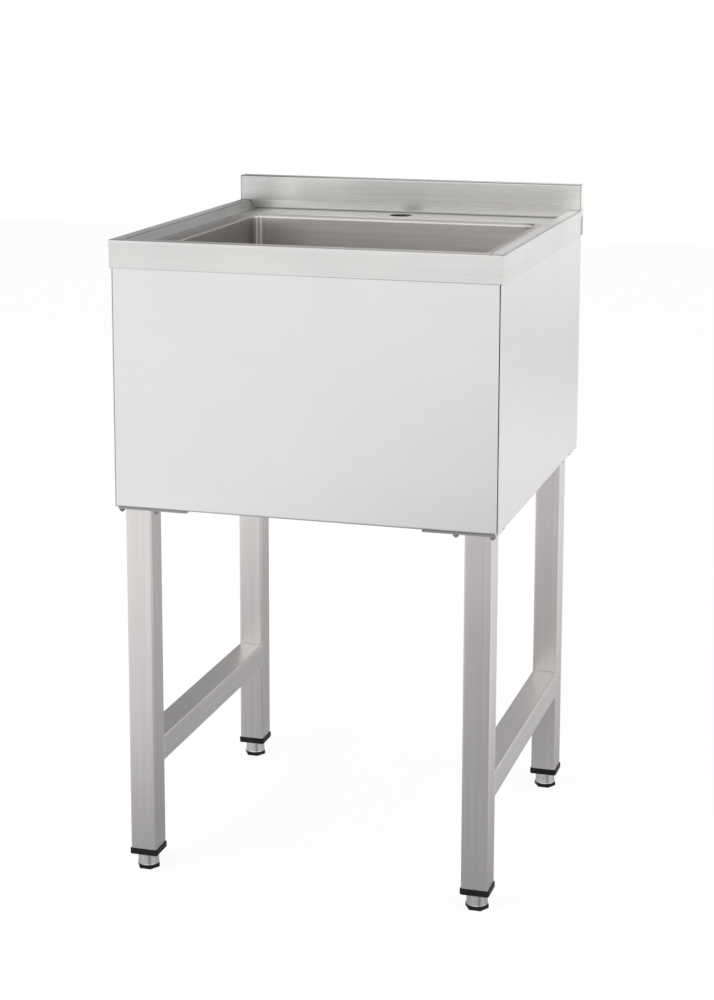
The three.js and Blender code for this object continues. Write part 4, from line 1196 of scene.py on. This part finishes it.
# a round-cornered bar across the outlet at one turn, closed at both ends
def spokeGrid(turned):
    half, rise = strainer["spokeHalf"], strainer["spokeRise"]
    section = closeLoop(roundedPath([(half, rise), (-half, rise), (-half, -rise), (half, -rise)],
                                    [strainer["spokeRound"]] * 4, steps=3, holds=0, closed=True))
    sections = np.stack([section * 0, section, section, section * 0])
    reach = np.array([strainer["spokeFrom"]] * 2 + [strainer["spokeTo"]] * 2)[:, None]
    lengths = np.broadcast_to(reach, sections.shape[:2])
    levels = strainer["floorTop"] - rise + sections[:, :, 1]
    points = np.dstack([*spin(lengths, sections[:, :, 0], turned), levels])
    return points, points[:, :, :2]


spokes = [spokeGrid(turned) for turned in np.radians(np.arange(0, 360, 360 // strainer["spokes"]))]
hubGrid = washerGrid(strainer["pegHole"], strainer["hub"], (-strainer["depth"], strainer["floorTop"]))
drainPiece("strainerBody", [strainerGrid(), hubGrid, *spokes],
           "sink_frame", "polished_steel", polishedSteel, "strainer_body")
gasketGrid = washerGrid(under["ringInner"], strainer["flange"], under["gasket"], under["gasketEase"])
drainPiece("strainerGasket", [gasketGrid], "sink_frame", "black_rubber", blackRubber, "strainer_gasket")
frictionGrid = washerGrid(under["ringInner"], strainer["flange"], under["friction"], under["frictionEase"])
drainPiece("frictionRing", [frictionGrid], "sink_frame", "fibre_ring", brownFibre, "friction_ring")


# a ring nut whose edge carries four lugs: the radius steps out round each quarter turn
def locknutGrid():
    turn = roundTurns(under["locknutColumns"])
    low, high = under["locknut"]
    away = np.abs((turn + math.pi / 4) % (math.pi / 2) - math.pi / 4)
    raised = np.clip((math.radians(under["lugHalf"]) - away) / math.radians(under["lugSlope"]), 0, 1)
    outer = under["locknutRadius"] + under["lug"] * raised
    bore, ease = under["ringInner"], under["locknutEase"]
    rings = [(bore, low), (outer - ease, low), (outer, low + ease), (outer, high - ease),
             (outer - ease, high), (bore, high), (bore, low)]
    return ringGrid(rings, 0, 0, turn)


# a slip nut: twelve flats outside, a wide bore over the outlet and a narrow one round the pipe
def slipNutGrid():
    turn = roundTurns(under["slipColumns"])
    low, high = under["slipNut"]
    pipe = under["tail"] + under["gap"]
    rings = [(pipe, low), *polygonRings(turn, 12, under["slipCorner"], 0, low, high, under["slipShare"]),
             (under["slipBore"], high), (under["slipBore"], low + under["slipLip"]),
             (pipe, low + under["slipLip"]), (pipe, low)]
    return ringGrid(rings, 0, 0, turn)


drainPiece("strainerLocknut", [locknutGrid()], "sink_frame", "zinc_steel", zincPaintedShade, "strainer_locknut")
drainPiece("tailpieceNut", [slipNutGrid()], "sink_frame", "zinc_steel", zincPaintedShade, "tailpiece_nut")
washer = washerGrid(under["tail"], under["tailFlange"], under["washer"], under["washerEase"])
drainPiece("tailpieceWasher", [washer], "sink_frame", "black_rubber", blackRubber, "tailpiece_washer")
pipeOuter, pipeInner = under["tail"], under["tail"] - under["tailWall"]
pipeTop, pipeEnd, flangeLow = under["tailTop"], under["tailEnd"], under["tailTop"] - under["tailWall"]
pipeProfile = roundedPath(
    [(pipeInner, pipeEnd), (pipeInner, pipeTop), (under["tailFlange"], pipeTop),
     (under["tailFlange"], flangeLow), (pipeOuter, flangeLow), (pipeOuter, pipeEnd)],
    under["tailRounds"], steps=4, holds=0, closed=True)
pipeGrid = turnedGrid(closeLoop(pipeProfile), 0, 0)
drainPiece("tailpiecePipe", [pipeGrid], "sink_frame", "polished_steel", polishedSteel, "tailpiece")


# the part of the basket floor round one hole: a piece of ring whose border closes in on the hole
def holedPatch(turned):
    half, steps, rows = math.pi / basket["holes"], basket["patchSteps"], basket["patchRows"]
    sweep = np.linspace(-half, half, steps + 1)
    radii = np.linspace(basket["holeFrom"], basket["holeTo"], rows)
    border = np.vstack([
        np.stack([np.full(steps + 1, basket["holeFrom"]), sweep], 1),
        np.stack([radii[1:], np.full(rows - 1, half)], 1),
        np.stack([np.full(steps, basket["holeTo"]), sweep[::-1][1:]], 1),
        np.stack([radii[::-1][1:], np.full(rows - 1, -half)], 1)])
    place = np.stack([border[:, 0] * np.cos(border[:, 1]), border[:, 0] * np.sin(border[:, 1])], 1)
    centre = np.array([basket["holeCircle"], 0])
    holeTurn = np.arctan2(place[:, 1], place[:, 0] - centre[0])
    hole = centre + basket["holeRadius"] * np.stack([np.cos(holeTurn), np.sin(holeTurn)], 1)
    flat = drawOver(place, hole, basket["patchShares"])
    spun = np.dstack(spin(flat[:, :, 0], flat[:, :, 1], turned))
    return raiseRows(spun, np.full(len(flat), basket["floor"])), spun


# the cup: its floor inside the holes, the patches with the holes, and from there out and up to the rim
phase = math.pi / basket["holes"]
rimX, rimTop = basket["rim"], basket["rimTop"]
cupInner = np.array([[strainer["pegHole"], basket["floor"]], [basket["holeFrom"], basket["floor"]]])
cupOuter = roundedPath(
    [(basket["holeTo"], basket["floor"]), (basket["radius"] - basket["footRun"], basket["floor"]),
     (basket["radius"], basket["floor"] + basket["footRise"]), (basket["radius"], rimTop),
     (rimX - basket["rimEdge"], rimTop), (rimX - basket["rimIn"], rimTop - basket["rimLow"])],
    basket["cupRounds"], steps=6, holds=basket["cupHolds"])
cupTurn = np.linspace(-phase, 2 * math.pi - phase, basket["patchSteps"] * basket["holes"] + 1)
patches = [holedPatch(turned) for turned in np.arange(basket["holes"]) * 2 * phase]
drainPiece("basketCup", [ringGrid(cupInner, 0, 0, cupTurn), ringGrid(cupOuter, 0, 0, cupTurn), *patches],
           "basket", "polished_steel", polishedSteel, "basket_cup", inner=farBelow, wall=basket["sheet"])
sealGrid = washerGrid(strainer["pegHole"], basket["seal"], (basket["sealLow"], basket["sealTop"]),
                      basket["sealEase"])
drainPiece("basketSeal", [sealGrid], "basket", "black_rubber", blackRubber, "basket_seal")

# the post: a peg below the floor, a collar on it, a neck and a ball
post, pegLow, pegEase = basket["post"], basket["pegLow"], basket["pegEase"]
collar, collarTop, collarRound = basket["collar"], basket["collarTop"], basket["collarRound"]
postProfile = np.vstack([
    [[0, pegLow], [post - pegEase, pegLow], [post, pegLow + pegEase],
     [post, basket["floor"]], [collar, basket["floor"]]],
    arcPoints((collar - collarRound, collarTop - collarRound), collarRound, 0, 90, 3),
    [[post + collarRound, collarTop], [post, collarTop + collarRound]],
    np.linspace([post, collarTop + basket["neckFrom"]], [basket["neck"], basket["neckTo"]], 6),
    arcPoints((0, basket["knobAt"]), basket["knob"], basket["knobFrom"], 90, 16)])
postGrid = turnedGrid(postProfile, 0, 0, columns=basket["postColumns"])
drainPiece("basketPost", [postGrid], "basket", "polished_steel", polishedSteel, "basket_post")

# the leg plates stay as they come in the frame and take a dark finish, painted shade under the skirt
print("finishing the leg plates")
for corner in legPlaces:
    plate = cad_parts[f"leg_plate_{corner}"]
    for held in plate.material_slots:
        held.material = plateSteelPaintedShade
